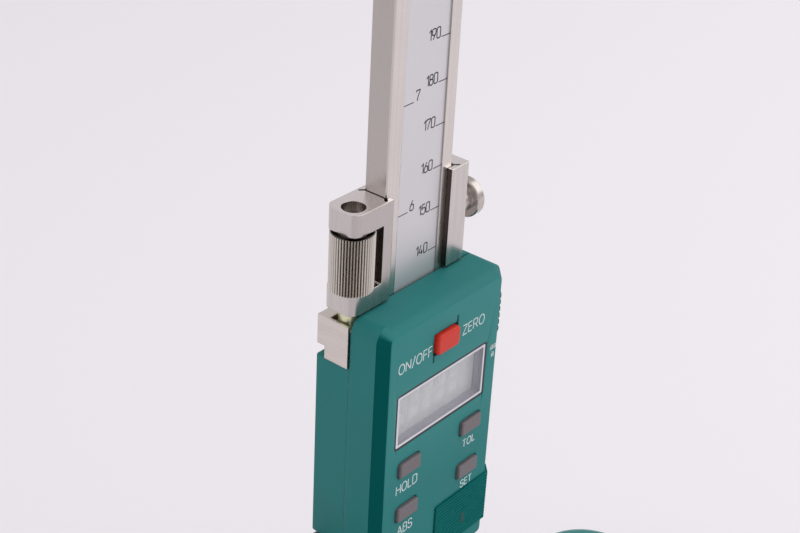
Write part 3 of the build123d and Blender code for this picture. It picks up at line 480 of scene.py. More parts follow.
# Painted sheen: the housing's front faces, from the display's lower edge up, are a lighter teal.
tone_faces(moulded_teal, "Y", -2.0, -0.97, (0.026, 0.212, 0.205), "Z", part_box("display_frame")[0].z, 1.0,
           15.0 * MM)
cover_teal = make_material("cover_teal", (0.001, 0.134, 0.126), GRAIN, 0.00012, 0.3, TEAL_RUBBED, 0.000006,
                           specular=0.04, Low_Roughness=0.42, High_Roughness=0.54)
enamel = make_material("teal_enamel", (0.006, 0.19, 0.18), GRAIN, 0.0005, 0.2, TEAL_RUBBED, 0.00012,
                       specular=0.5, coat=0.25, Grain_Scale=650.0, Cloud_Scale=25.0,
                       Low_Roughness=0.34, High_Roughness=0.46, Dark_Tone=0.9, Light_Tone=1.06)
red_key = make_material("red_key", (0.61, 0.030, 0.015), GRAIN, 0.0002, 0.2, (0.85, 0.12, 0.06), 0.000004,
                        specular=0.25, Grain_Scale=3800.0, Low_Roughness=0.30, High_Roughness=0.40)
grey_key = make_material("grey_key", (0.142, 0.125, 0.134), GRAIN, 0.0002, 0.2, (0.2, 0.18, 0.18), 0.000006,
                         specular=0.5, Low_Roughness=0.42, High_Roughness=0.52)
border_white = make_material("border_white", (0.66, 0.665, 0.70), GRAIN, 0.0001, 0.1, (0.8, 0.8, 0.8),
                             0.000002,
                             specular=0.5, Low_Roughness=0.3, High_Roughness=0.4)
# Painted shade: the white border's inner walls are violet-grey.
shade_walls(border_white, (0.33, 0.32, 0.37))
# Painted shade: near-black for the strip laid in the display's joint.
gap_shade_paint = make_material("display_gap_shade", (0.06, 0.045, 0.055), GRAIN, 0.0001, 0.2, (0.1, 0.08, 0.1),
                       0.000004, specular=0.2, Low_Roughness=0.5, High_Roughness=0.65)
black_plastic = make_material("black_plastic", (0.02, 0.02, 0.022), GRAIN, 0.0001, 0.2, (0.08, 0.08, 0.08),
                              0.000004, Low_Roughness=0.4, High_Roughness=0.5)
silicone = make_material("silicone", (0.05, 0.05, 0.055), GRAIN, 0.0001, 0.1, (0.1, 0.1, 0.1), 0.000004,
                         Low_Roughness=0.55, High_Roughness=0.7)
solder_mask = make_material("solder_mask", (0.012, 0.12, 0.035), GRAIN, 0.0001, 0.2, (0.3, 0.25, 0.1),
                            0.000004,
                            Grain_Scale=1500.0, Low_Roughness=0.25, High_Roughness=0.4)
scale_ink = make_material("scale_ink", (0.018, 0.018, 0.022), GRAIN, 0.00005, 0.1, (0.05, 0.05, 0.05),
                          0.000001,
                          Low_Roughness=0.45, High_Roughness=0.6)
label_ink = make_material("label_ink", (0.60, 0.68, 0.68), GRAIN, 0.00005, 0.1, (0.7, 0.7, 0.7), 0.000001,
                          Low_Roughness=0.5, High_Roughness=0.65)
mark_ink = make_material("mark_ink", (0.001, 0.05, 0.046), GRAIN, 0.00005, 0.1, (0.1, 0.4, 0.4), 0.000001,
                         Low_Roughness=0.5, High_Roughness=0.65)
segment_ink = make_material("segment_ink", (0.495, 0.513, 0.522), GRAIN, 0.00005, 0.1, (0.4, 0.4, 0.4),
                            0.000001,
                            Low_Roughness=0.35, High_Roughness=0.45)


def make_lcd_material():
    """Grey display glass: paler in the middle, with a darker violet-grey seal round it."""
    material = bpy.data.materials.new("display_glass")
    material.use_nodes = True
    tree = material.node_tree
    surface = tree.nodes["Principled BSDF"]
    surface.inputs["Coat Weight"].default_value = 0.3
    surface.inputs["Specular IOR Level"].default_value = 0.5
    where = add_node(tree, "ShaderNodeTexCoord")
    middle = (LCD_LOW + LCD_HIGH) / 2
    half = (LCD_HIGH - LCD_LOW) / 2
    centred = add_node(tree, "ShaderNodeMapping", {"Location": tuple(-middle)})
    apart = add_node(tree, "ShaderNodeSeparateXYZ")
    join(tree, (where.outputs["Object"], centred.inputs["Vector"]), (centred.outputs[0], apart.inputs[0]))
    seals = []
    for axis, width in (("X", 1.9 * MM), ("Z", 1.1 * MM)):
        size = half.x if axis == "X" else half.z
        away = add_node(tree, "ShaderNodeMath", operation="ABSOLUTE")
        seal = add_node(tree, "ShaderNodeMapRange", {"From Min": size - width,
                        "From Max": size - width + 0.4 * MM})
        join(tree, (apart.outputs[axis], away.inputs[0]), (away.outputs[0], seal.inputs["Value"]))
        seals.append(seal.outputs[0])
    ring = add_node(tree, "ShaderNodeMath", operation="MAXIMUM")
    look = use_group(tree, GRAIN, Grain_Scale=2600.0, Cloud_Scale=60.0, Low_Roughness=0.16,
                     High_Roughness=0.26, Dark_Tone=0.97, Light_Tone=1.03)
    paint = tinted(tree, look.outputs["Tone"], (0.525, 0.545, 0.555))
    paint = rubbed(tree, ring.outputs[0], paint, (0.30, 0.29, 0.35))
    join(tree, (seals[0], ring.inputs[0]), (seals[1], ring.inputs[1]),
         (paint, surface.inputs["Base Color"]), (look.outputs["Roughness"], surface.inputs["Roughness"]))
    return material


def make_window_material():
    """Clear acrylic pane, faintly smeared."""
    material = bpy.data.materials.new("clear_acrylic")
    material.use_nodes = True
    tree = material.node_tree
    surface = tree.nodes["Principled BSDF"]
    surface.inputs["Base Color"].default_value = (0.80, 0.81, 0.84, 1.0)
    surface.inputs["Alpha"].default_value = 0.1
    look = use_group(tree, GRAIN, Grain_Scale=900.0, Cloud_Scale=80.0, Low_Roughness=0.05,
                     High_Roughness=0.12)
    join(tree, (look.outputs["Roughness"], surface.inputs["Roughness"]))
    return material


NODE_MATERIALS = {
    "base_casting": enamel, "beam_clamp_plate": block_steel, "beam_clamp_screws": black_steel,
    "beam": beam_steel, "scale_strip": strip_metal, "beam_top_stop": block_steel,
    "beam_top_stop_screws": turned_steel, "carriage_block": fork_steel, "carriage_gib": brass,
    "carriage_lock_knob": knob_steel, "fine_adjust_nut": turned_steel, "adjusting_screw": zinc,
    "slider_frame": frame_steel, "slider_gib": brass, "gib_screws": black_steel,
    "slider_lock_knob": slider_knob_steel, "frame_screws": black_steel, "scriber": bar_steel,
    "scriber_tip": carbide, "scriber_clamp": block_steel, "scriber_clamp_knob": clamp_knob_steel,
    "housing": moulded_teal, "back_cover": moulded_teal, "back_cover_screws": black_steel,
    "display_frame": border_white, "display_window": make_window_material(),
    "lcd_module": make_lcd_material(), "circuit_board": solder_mask, "read_head": solder_mask,
    "button_mat": silicone, "data_socket": black_plastic, "on_off_zero_button": red_key,
    "hold_button": grey_key, "tolerance_button": grey_key, "absolute_button": grey_key,
    "set_button": grey_key, "unit_button": grey_key, "battery": nickel, "battery_contact": nickel,
    "battery_cover": cover_teal, "port_cover": cover_teal}

for name, material in NODE_MATERIALS.items():
    for place in nodes[name].material_slots:
        place.material = material


# ------------------------------------------------------------------ geometry node trees

def run_tree(name, tree, values, source=None):
    """Runs a tree on an object, with inputs set by their identifiers, and returns the plain mesh piece."""
    if source is None:
        source = bpy.data.objects.new(name + "_seed", bpy.data.meshes.new(name + "_seed"))
        bpy.context.scene.collection.objects.link(source)
    modifier = source.modifiers.new("shape", "NODES")
    modifier.node_group = tree
    names = {item.name: item.identifier for item in tree.interface.items_tree if item.in_out == "INPUT"}
    for label, value in values.items():
        modifier[names[label]] = value
    source.update_tag()
    bpy.context.view_layer.update()
    shape = source.evaluated_get(bpy.context.evaluated_depsgraph_get())
    mesh = bpy.data.meshes.new_from_object(shape)
    mesh.name = name
    for face in mesh.polygons:
        face.use_smooth = False
    piece = bpy.data.objects.new(name, mesh)
    bpy.context.scene.collection.objects.link(piece)
    bpy.data.objects.remove(source)
    return piece


GEOMETRY = "NodeSocketGeometry"
MATERIAL = "NodeSocketMaterial"
INTEGER = "NodeSocketInt"


def make_stroke_tree():
    """Flat raised strokes that follow the curves of lettering."""
    tree, start, end = new_group(
        "raised_strokes", "GeometryNodeTree",
        [("Curves", GEOMETRY, None), ("Stroke", FLOAT, 0.0003), ("Height", FLOAT, 0.00002),
         ("Material", MATERIAL, None)],
        [("Mesh", GEOMETRY, None)])
    flat = add_node(tree, "GeometryNodeSetCurveNormal", mode="Z_UP")
    profile = add_node(tree, "GeometryNodeCurvePrimitiveQuadrilateral")
    sweep = add_node(tree, "GeometryNodeCurveToMesh", {"Fill Caps": True})
    paint = add_node(tree, "GeometryNodeSetMaterial")
    join(tree,
         (start.outputs["Curves"], flat.inputs["Curve"]),
         (start.outputs["Stroke"], profile.inputs["Width"]),
         (start.outputs["Height"], profile.inputs["Height"]),
         (flat.outputs[0], sweep.inputs["Curve"]), (profile.outputs[0], sweep.inputs["Profile Curve"]),
         (sweep.outputs[0], paint.inputs["Geometry"]), (start.outputs["Material"], paint.inputs["Material"]),
         (paint.outputs[0], end.inputs["Mesh"]))
    return tree


def make_tick_tree():
    """A row of equal ticks up a scale."""
    tree, start, end = new_group(
        "scale_ticks", "GeometryNodeTree",
        [("Count", INTEGER, 30), ("Pitch", FLOAT, 0.01), ("Length", FLOAT, 0.003),
         ("Thickness", FLOAT, 0.00012), ("Height", FLOAT, 0.00002), ("First", VECTOR, (0, 0, 0)),
         ("Material", MATERIAL, None)],
        [("Mesh", GEOMETRY, None)])
    step = add_node(tree, "ShaderNodeCombineXYZ")
    size = add_node(tree, "ShaderNodeCombineXYZ")
    row = add_node(tree, "GeometryNodeMeshLine", mode="OFFSET")
    tick = add_node(tree, "GeometryNodeMeshCube")
    place = add_node(tree, "GeometryNodeInstanceOnPoints")
    real = add_node(tree, "GeometryNodeRealizeInstances")
    paint = add_node(tree, "GeometryNodeSetMaterial")
    join(tree,
         (start.outputs["Pitch"], step.inputs["Z"]), (start.outputs["Length"], size.inputs["X"]),
         (start.outputs["Height"], size.inputs["Y"]), (start.outputs["Thickness"], size.inputs["Z"]),
         (start.outputs["Count"], row.inputs["Count"]),
         (start.outputs["First"], row.inputs["Start Location"]),
         (step.outputs[0], row.inputs["Offset"]), (size.outputs[0], tick.inputs["Size"]),
         (row.outputs[0], place.inputs["Points"]), (tick.outputs["Mesh"], place.inputs["Instance"]),
         (place.outputs[0], real.inputs[0]), (real.outputs[0], paint.inputs["Geometry"]),
         (start.outputs["Material"], paint.inputs["Material"]), (paint.outputs[0], end.inputs["Mesh"]))
    return tree


def make_knurl_tree():
    """A straight-knurled roller: a star profile on a short straight path, chamfered at both ends."""
    tree, start, end = new_group(
        "knurled_roller", "GeometryNodeTree",
        [("Teeth", INTEGER, 46), ("Outer", FLOAT, 0.0049), ("Inner", FLOAT, 0.0046),
         ("Low", VECTOR, (0, 0, 0)), ("High", VECTOR, (0, 0, 0.01)), ("Edge", FLOAT, 0.0004),
         ("Edge Scale", FLOAT, 0.93), ("Steps", INTEGER, 48), ("Material", MATERIAL, None)],
        [("Mesh", GEOMETRY, None)])
    path = add_node(tree, "GeometryNodeCurvePrimitiveLine")
    steps = add_node(tree, "GeometryNodeResampleCurve")
    star = add_node(tree, "GeometryNodeCurveStar")
    along = add_node(tree, "GeometryNodeSplineParameter")
    length = add_node(tree, "GeometryNodeCurveLength")
    rest = add_node(tree, "ShaderNodeMath", operation="SUBTRACT")
    nearest = add_node(tree, "ShaderNodeMath", operation="MINIMUM")
    taper = add_node(tree, "ShaderNodeMapRange", {"From Min": 0.0, "To Max": 1.0})
    radius = add_node(tree, "GeometryNodeSetCurveRadius")
    sweep = add_node(tree, "GeometryNodeCurveToMesh", {"Fill Caps": True})
    paint = add_node(tree, "GeometryNodeSetMaterial")
    join(tree,
         (start.outputs["Low"], path.inputs["Start"]), (start.outputs["High"], path.inputs["End"]),
         (path.outputs[0], steps.inputs["Curve"]), (start.outputs["Steps"], steps.inputs["Count"]),
         (start.outputs["Teeth"], star.inputs["Points"]),
         (start.outputs["Inner"], star.inputs["Inner Radius"]),
         (start.outputs["Outer"], star.inputs["Outer Radius"]),
         (path.outputs[0], length.inputs[0]), (length.outputs[0], rest.inputs[0]),
         (along.outputs["Length"], rest.inputs[1]), (along.outputs["Length"], nearest.inputs[0]),
         (rest.outputs[0], nearest.inputs[1]), (nearest.outputs[0], taper.inputs["Value"]),
         (start.outputs["Edge"], taper.inputs["From Max"]),
         (start.outputs["Edge Scale"], taper.inputs["To Min"]),
         (steps.outputs[0], radius.inputs["Curve"]), (taper.outputs[0], radius.inputs["Radius"]),
         (radius.outputs[0], sweep.inputs["Curve"]), (star.outputs[0], sweep.inputs["Profile Curve"]),
         (sweep.outputs[0], paint.inputs["Geometry"]), (start.outputs["Material"], paint.inputs["Material"]),
         (paint.outputs[0], end.inputs["Mesh"]))
    return tree


STROKES = make_stroke_tree()
TICKS = make_tick_tree()
KNURL = make_knurl_tree()


# ------------------------------------------------------------------ lettering

# Plain stroke letters on a body 1 high: width, then strokes as points of a smooth curve.
# A point given twice makes a sharp corner, and a stroke that ends with "o" closes on itself.
GLYPHS = {
    "0": (0.48, [[(0, .25), (0, .75), (0, 1), (.48, 1), (.48, .75), (.48, .25), (.48, 0), (0, 0), "o"]]),
    "1": (0.26, [[(0, .76), (.26, 1), (.26, 1), (.26, 0)]]),
    "2": (0.48, [[(0, .74), (0, 1), (.47, 1.02), (.5, .66), (.3, .4), (0, 0), (0, 0), (.48, 0)]]),
    "3": (0.48, [[(0, .78), (.02, 1), (.44, 1.02), (.44, .56), (.18, .54)],
                 [(.18, .54), (.48, .56), (.5, 0), (.02, -.02), (0, .22)]]),
    "4": (0.52, [[(.26, 1), (0, .24), (0, .24), (.52, .24)], [(.38, .5), (.38, 0)]]),
    "5": (0.48, [[(.44, 1), (.06, 1), (.06, 1), (.02, .52), (.02, .52), (.16, .64), (.48, .66), (.5, .3),
                  (.46, 0), (.04, -.04), (0, .18)]]),
    "6": (0.48, [[(.34, 1), (.04, .48), (0, .4), (0, .24), (0, 0), (.48, 0), (.48, .3), (.48, .58),
                  (.1, .62), (.05, .46)]]),
    "7": (0.48, [[(0, .84), (0, 1), (0, 1), (.48, 1), (.48, 1), (.48, .86), (.2, .4), (.16, 0)]]),
    "8": (0.48, [[(.03, .66), (.03, .88), (.1, 1), (.38, 1), (.45, .88), (.45, .66), (.38, .54),
          (.1, .54), "o"],
                 [(0, .16), (0, .4), (.08, .54), (.4, .54), (.48, .4), (.48, .16), (.4, 0), (.08, 0), "o"]]),
    "9": (0.48, [[(.14, 0), (.44, .52), (.48, .6), (.48, .76), (.48, 1), (0, 1), (0, .7), (0, .42),
                  (.38, .38), (.43, .54)]]),
    "A": (0.66, [[(0, 0), (.33, 1), (.33, 1), (.66, 0)], [(.12, .34), (.54, .34)]]),
    "B": (0.54, [[(0, .54), (.44, .54), (.54, .44), (.54, .1), (.44, 0), (0, 0), (0, 0), (0, 1), (0, 1),
                  (.4, 1), (.5, .9), (.5, .64), (.4, .54), (.3, .54)]]),
    "D": (0.6, [[(0, 0), (0, 1), (0, 1), (.3, 1), (.6, .95), (.6, .5), (.6, .05), (.3, 0), (0, 0),
          (0, 0), (0, .2)]]),
    "E": (0.46, [[(.46, 1), (0, 1), (0, 1), (0, 0), (0, 0), (.46, 0)], [(0, .52), (.42, .52)]]),
    "F": (0.46, [[(.46, 1), (0, 1), (0, 1), (0, 0)], [(0, .52), (.42, .52)]]),
    "H": (0.6, [[(0, 0), (0, 1)], [(.6, 0), (.6, 1)], [(0, .52), (.6, .52)]]),
    "L": (0.46, [[(0, 1), (0, 0), (0, 0), (.46, 0)]]),
    "N": (0.6, [[(0, 0), (0, 1), (0, 1), (.6, 0), (.6, 0), (.6, 1)]]),
    "O": (0.7, [[(0, .5), (.02, .7), (.1, .88), (.22, .98), (.35, 1), (.48, .98), (.6, .88), (.68, .7),
                 (.7, .5), (.68, .3), (.6, .12), (.48, .02), (.35, 0), (.22, .02), (.1, .12), (.02, .3),
                 "o"]]),
    "R": (0.56, [[(0, 0), (0, 1), (0, 1), (.42, 1), (.54, .92), (.54, .56), (.42, .46), (0, .46)],
                 [(.3, .46), (.56, 0)]]),
    "S": (0.54, [[(.52, .8), (.5, 1), (.04, 1.04), (.0, .7), (.06, .52), (.46, .5), (.56, .34), (.52, -.02),
                  (.02, -.04), (0, .2)]]),
    "T": (0.56, [[(0, 1), (.56, 1)], [(.28, 1), (.28, 0)]]),
    "Z": (0.54, [[(0, 1), (.54, 1), (.54, 1), (0, 0), (0, 0), (.54, 0)]]),
    "/": (0.34, [[(0, -.06), (.34, 1.06)]]),
    "i": (0.1, [[(.05, 0), (.05, .68)], [(.05, .86), (.05, .98)]]),
    "m": (0.8, [[(0, 0), (0, .68)], [(0, .5), (.04, .7), (.4, .72), (.4, .45), (.4, 0)],
                [(.4, .5), (.44, .7), (.8, .72), (.8, .45), (.8, 0)]]),
    "n": (0.42, [[(0, 0), (0, .68)], [(0, .5), (.04, .7), (.42, .72), (.42, .45), (.42, 0)]]),
}
LETTER_GAP = 0.15


def text_width(text, gap=LETTER_GAP):
    """Width of a line of text on a body 1 high."""
    return sum(GLYPHS[letter][0] for letter in text) + gap * (len(text) - 1)


def write_text(curve, text, x, y, height, width=1.0, align="left", gap=LETTER_GAP):
    """Adds a line of text to a curve; x is its left end, centre or right end, and y its base line."""
    x -= {"left": 0.0, "centre": 0.5, "right": 1.0}[align] * text_width(text, gap) * height * width
    for letter in text:
        wide, strokes = GLYPHS[letter]
        for stroke in strokes:
            closed = stroke[-1] == "o"
            points = stroke[:-1] if closed else stroke
            spline = curve.splines.new("NURBS")
            spline.points.add(len(points) - 1)
            for point, (across, up) in zip(spline.points, points):
                point.co = (x + across * height * width, y + up * height, 0.0, 1.0)
            spline.order_u = 3
            spline.use_cyclic_u = closed
            spline.use_endpoint_u = not closed
            spline.resolution_u = 3
        x += (wide + gap) * height * width


def new_lettering(name):
    """An empty curve object that text is written into."""
    curve = bpy.data.curves.new(name, "CURVE")
    curve.dimensions = "3D"
    piece = bpy.data.objects.new(name + "_strokes", curve)
    bpy.context.scene.collection.objects.link(piece)
    return piece


TO_FRONT = Matrix.Rotation(math.pi / 2, 4, "X")


def finish_lettering(name, strokes, stroke, height, level, material, body):
    """Turns the strokes into a raised mesh on a face that looks along -Y, and seats it at that level."""
    piece = run_tree(name, STROKES, {"Stroke": stroke, "Height": height, "Material": material}, strokes)
    piece.data.transform(Matrix.Translation((0, level, 0)) @ TO_FRONT)
    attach(piece, body)
    return piece


INK = 0.02 * MM                 # thickness of a printed layer
STRIP_FACE = STRIP_LOW.y
DIGIT_HEIGHT = 2.35 * MM
DIGIT_WIDTH = 1.02
MM_TICK = 2.75 * MM
INCH_TICK = 3.6 * MM
INCH = 25.4 * MM
LAST_NUMBER = 300
strip_right = STRIP_HIGH.x
strip_left = STRIP_LOW.x

scale_text = new_lettering("scale_numbers")
for number in range(10, LAST_NUMBER + 1, 10):
    write_text(scale_text.data, str(number), strip_right - MM_TICK - 0.4 * MM,
               SCALE_ZERO + number * MM, DIGIT_HEIGHT, DIGIT_WIDTH, "right")
for number in range(1, 12):
    write_text(scale_text.data, str(number), strip_left + INCH_TICK + 1.35 * MM,
               SCALE_ZERO + number * INCH, DIGIT_HEIGHT, DIGIT_WIDTH, "centre")
finish_lettering("scale_numbers", scale_text, 0.3 * MM, INK, STRIP_FACE, scale_ink, "base")

for name, count, pitch, length, x in (
        ("millimetre_ticks", LAST_NUMBER // 10, 10 * MM, MM_TICK, strip_right - MM_TICK / 2),
        ("inch_ticks", 11, INCH, INCH_TICK, strip_left + INCH_TICK / 2)):
    ticks = run_tree(name, TICKS, {
        "Count": count, "Pitch": pitch, "Length": length, "Thickness": 0.22 * MM, "Height": INK,
        "First": (x, STRIP_FACE, SCALE_ZERO + pitch), "Material": scale_ink})
    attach(ticks, "base")

LABELS = (
    ("ON/OFF", -10.75, 64.9, 2.45, 1.08), ("ZERO", 9.7, 65.1, 2.45, 1.12), ("HOLD", -11.3, 32.1, 2.45, 1.0),
    ("ABS", -11.1, 19.9, 2.45, 0.98), ("TOL", 11.5, 32.6, 2.0, 1.1), ("SET", 11.7, 20.7, 1.95, 1.1),
    ("mm/in", -11.3, 7.6, 2.45, 0.98), ("mm", 18.1, 56.0, 1.5, 0.7), ("in", 18.1, 53.9, 1.5, 0.7))
labels = new_lettering("front_labels")
for text, x, level, height, width in LABELS:
    write_text(labels.data, text, x * MM, SLIDER_FOOT + level * MM, height * MM, width, "centre", 0.2)
finish_lettering("front_labels", labels, 0.28 * MM, INK, FRONT, label_ink, "slider")

def write_line(curve, points, closed=False):
    """Adds a straight-sided line through points in X and Z."""
    spline = curve.splines.new("POLY")
    spline.points.add(len(points) - 1)
    for point, (across, up) in zip(spline.points, points):
        point.co = (across, up, 0.0, 1.0)
    spline.use_cyclic_u = closed


# Dark strip in the joint round the display's border: painted shade of the gap there
JOINT = 0.54 * MM
BORDER_LOW, BORDER_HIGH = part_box("display_frame")
low_x, low_z = BORDER_LOW.x - JOINT / 2, BORDER_LOW.z - JOINT / 2
high_x, high_z = BORDER_HIGH.x + JOINT / 2, BORDER_HIGH.z + JOINT / 2
joint = new_lettering("display_gap_shade")
write_line(joint.data, [(low_x, low_z), (high_x, low_z), (high_x, high_z), (low_x, high_z)], True)
finish_lettering("display_gap_shade", joint, JOINT, 0.3 * MM, FRONT + 0.16 * MM, gap_shade_paint, "slider")

# Opening mark on the battery cover: a bar
LID_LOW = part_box("battery_cover")[0]
mark = new_lettering("cover_mark")
mark_x = LID_LOW.x + 10.6 * MM
mark_z = SLIDER_FOOT + 11.4 * MM
write_line(mark.data, [(mark_x, mark_z - 1.5 * MM), (mark_x, mark_z + 1.5 * MM)])
finish_lettering("cover_mark", mark, 1.1 * MM, INK, LID_LOW.y, mark_ink, "battery_lid")

DIGIT_SIZE = 7.6 * MM
SEGMENTS = [[(0, .06), (0, .46)], [(0, .54), (0, .94)], [(.5, .06), (.5, .46)], [(.5, .54), (.5, .94)],
            [(.05, 0), (.45, 0)], [(.05, .5), (.45, .5)], [(.05, 1), (.45, 1)]]
ghost = new_lettering("display_segments")
middle = (LCD_LOW + LCD_HIGH) / 2
for place in range(6):
    x = middle.x + (place - 2.9) * 0.62 * DIGIT_SIZE
    for segment in SEGMENTS:
        write_line(ghost.data, [(x + (across + 0.09 * up) * DIGIT_SIZE, middle.z + (up - 0.5) * DIGIT_SIZE)
                                for across, up in segment])
finish_lettering("display_segments", ghost, 0.75 * MM, INK, LCD_LOW.y, segment_ink, "slider")


# ------------------------------------------------------------------ housing and its rear lip

CORNER_SOLID = 4.8 * MM         # corner radius of the solid housing, seen from the front
CORNER = 3.4 * MM               # and of the finished moulding
WALL = 1.8 * MM


def smooth_faces(piece):
    """Shades arcs smooth and keeps flat faces flat, with sharp edges where faces turn."""
    for face in piece.data.polygons:
        face.use_smooth = True
    piece.data.set_sharp_from_angle(angle=math.radians(24))
    normals = piece.modifiers.new("normals", "WEIGHTED_NORMAL")
    normals.keep_sharp = True
    normals.weight = 100


def finish_housing():
    """A merged copy of the housing with its four long corners drawn out to a tighter radius."""
    source = nodes["housing"]
    mesh = source.data.copy()
    mesh.name = "housing_moulding"
    shell = bmesh.new()
    shell.from_mesh(mesh)
    bmesh.ops.remove_doubles(shell, verts=shell.verts, dist=0.001 * MM)
    change = CORNER_SOLID - CORNER
    for vertex in shell.verts:
        x, y, z = vertex.co
        for side_x, edge_x in ((-1, HOUSING_LOW.x), (1, HOUSING_HIGH.x)):
            for side_z, edge_z in ((-1, HOUSING_LOW.z), (1, HOUSING_HIGH.z)):
                across = (x - edge_x) * side_x + CORNER_SOLID
                upward = (z - edge_z) * side_z + CORNER_SOLID
                far = math.hypot(across, upward)
                outside = y < FRONT + WALL - 0.01 * MM
                least = CORNER_SOLID - 3.0 * MM if outside else CORNER_SOLID - WALL - 0.05 * MM
                if across < -0.001 * MM or upward < -0.001 * MM or far < least:
                    continue
                shift = 1.0 - change / far
                vertex.co.x = edge_x + side_x * (across * shift - CORNER)
                vertex.co.z = edge_z + side_z * (upward * shift - CORNER)
    shell.to_mesh(mesh)
    shell.free()
    piece = bpy.data.objects.new("housing_moulding", mesh)
    bpy.context.scene.collection.objects.link(piece)
    smooth_faces(piece)
    return piece


moulding = finish_housing()
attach(moulding, "slider")
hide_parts("housing")


def make_lip():
    """Rear lip of the cover, beside the frame's right rail: closes the housing's upper right corner."""
    cover_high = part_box("back_cover")[1]
    low, high = cover_high.z, HOUSING_HIGH.z
    inner, outer = HOUSING_HIGH.x - 1.9 * MM, HOUSING_HIGH.x
    roof, left = high - 2.9 * MM, 16.3 * MM
    outline = [(inner, low), (outer, low)]
    outline += [(outer - CORNER + CORNER * math.sin(math.radians(turn)),
                 high - CORNER + CORNER * math.cos(math.radians(turn))) for turn in range(90, -1, -10)]
    outline += [(left, high), (left, roof), (inner, roof)]
    body = bmesh.new()
    front = [body.verts.new((x, HOUSING_HIGH.y, z)) for x, z in outline]
    back = [body.verts.new((x, cover_high.y, z)) for x, z in outline]
    body.faces.new(front)
    body.faces.new(list(reversed(back)))
    for index in range(len(outline)):
        after = (index + 1) % len(outline)
        body.faces.new((front[after], front[index], back[index], back[after]))
    bmesh.ops.recalc_face_normals(body, faces=body.faces)
    rear = [edge for edge in body.edges if all(corner.co.y == back[0].co.y for corner in edge.verts)]
    bmesh.ops.bevel(body, geom=rear, offset=0.6 * MM, segments=3, profile=0.5, affect="EDGES")
    mesh = bpy.data.meshes.new("cover_lip")
    body.to_mesh(mesh)
    body.free()
    mesh.materials.append(moulded_teal)
    lip = bpy.data.objects.new("cover_lip", mesh)
    bpy.context.scene.collection.objects.link(lip)
    smooth_faces(lip)
    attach(lip, "slider")


make_lip()


# ------------------------------------------------------------------ knurled nut

NUT_NECK = 0.25 * MM             # plain collar above the knurl
nut = run_tree("knurled_nut", KNURL, {
    "Teeth": 46, "Outer": NUT_RADIUS, "Inner": NUT_RADIUS - 0.42 * MM,
    "Low": (NUT_MIDDLE.x, NUT_MIDDLE.y, NUT_LOW.z),
    "High": (NUT_MIDDLE.x, NUT_MIDDLE.y, NUT_HIGH.z - NUT_NECK),
    "Edge": 0.45 * MM, "Edge Scale": 0.92, "Material": knurl_steel})
# The collar takes the painted shade of the gap under the arm.
collar = run_tree("nut_collar", KNURL, {
    "Teeth": 36, "Outer": 3.4 * MM, "Inner": 3.4 * MM,
    "Low": (NUT_MIDDLE.x, NUT_MIDDLE.y, NUT_HIGH.z - NUT_NECK - 0.1 * MM),
    "High": (NUT_MIDDLE.x, NUT_MIDDLE.y, NUT_HIGH.z),
    "Edge": 0.1 * MM, "Edge Scale": 0.98, "Steps": 6, "Material": collar_shade_steel})
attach(collar, "fine_nut")
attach(nut, "fine_nut")
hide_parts("fine_adjust_nut")


# ------------------------------------------------------------------ floor, light and camera

def make_floor():
    """Plain pale floor."""
    mesh = bpy.data.meshes.new("floor")
    reach = 6.0
    mesh.from_pydata([(-reach, -reach, 0), (reach, -reach, 0), (reach, reach, 0), (-reach, reach, 0)],
                     [], [(0, 1, 2, 3)])
    floor = bpy.data.objects.new("floor", mesh)
    bpy.context.scene.collection.objects.link(floor)
    material = bpy.data.materials.new("floor_paper")
    material.use_nodes = True
    surface = material.node_tree.nodes["Principled BSDF"]
    surface.inputs["Base Color"].default_value = (0.88, 0.855, 0.885, 1.0)
    surface.inputs["Roughness"].default_value = 0.9
    surface.inputs["Specular IOR Level"].default_value = 0.1
    mesh.materials.append(material)
    return floor


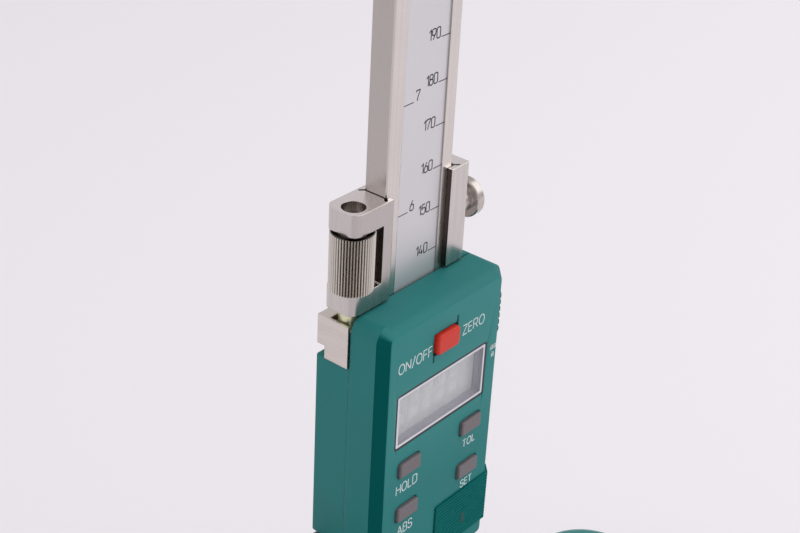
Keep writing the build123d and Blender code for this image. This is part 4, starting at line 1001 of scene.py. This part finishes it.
def make_lamp(name, place, target, size, power, color=(1, 1, 1)):
    """A square soft box that looks at a point."""
    light = bpy.data.lights.new(name, "AREA")
    light.shape = "SQUARE"
    light.size = size
    light.energy = power
    light.color = color
    lamp = bpy.data.objects.new(name, light)
    lamp.location = place
    lamp.rotation_euler = (Vector(target) - Vector(place)).to_track_quat("-Z", "Y").to_euler()
    bpy.context.scene.collection.objects.link(lamp)
    return lamp


def make_world(level, color):
    """Even pale surroundings."""
    world = bpy.data.worlds.new("studio")
    world.use_nodes = True
    background = world.node_tree.nodes["Background"]
    background.inputs["Color"].default_value = (*color, 1.0)
    background.inputs["Strength"].default_value = level
    bpy.context.scene.world = world


CAMERA_TURN = (-51.705, 29.517, 3.126)      # azimuth, elevation and roll, in degrees
CAMERA_PLACE = (-0.237951, -0.18378, 0.353039)
CAMERA_LENS = 71.233
CAMERA_SENSOR = 36.0


def make_camera():
    """Camera from its azimuth, elevation and roll: its direction is set, not its target."""
    azimuth, elevation, roll = (math.radians(angle) for angle in CAMERA_TURN)
    back = Vector((math.sin(azimuth) * math.cos(elevation), -math.cos(azimuth) * math.cos(elevation),
                   math.sin(elevation)))
    right = (-back).cross(Vector((0, 0, 1))).normalized()
    up = right.cross(-back)
    across = math.cos(roll) * right + math.sin(roll) * up
    upward = -math.sin(roll) * right + math.cos(roll) * up
    data = bpy.data.cameras.new("camera")
    data.sensor_width = CAMERA_SENSOR
    data.lens = CAMERA_LENS
    data.clip_start = 0.01
    camera = bpy.data.objects.new("camera", data)
    turn = Matrix((across, upward, back)).transposed().to_4x4()
    camera.matrix_world = Matrix.Translation(CAMERA_PLACE) @ turn
    bpy.context.scene.collection.objects.link(camera)
    bpy.context.scene.camera = camera


make_floor()
make_world(0.66, (1.0, 0.975, 1.0))
TARGET = (0.0, 0.0, 0.2)
make_lamp("key_light", (0.9, -0.9, 1.5), TARGET, 2.2, 19.0)
make_lamp("side_light", (-1.2, 0.3, 1.0), TARGET, 1.0, 2.0)
make_camera()

bpy.context.scene.view_settings.view_transform = "Standard"
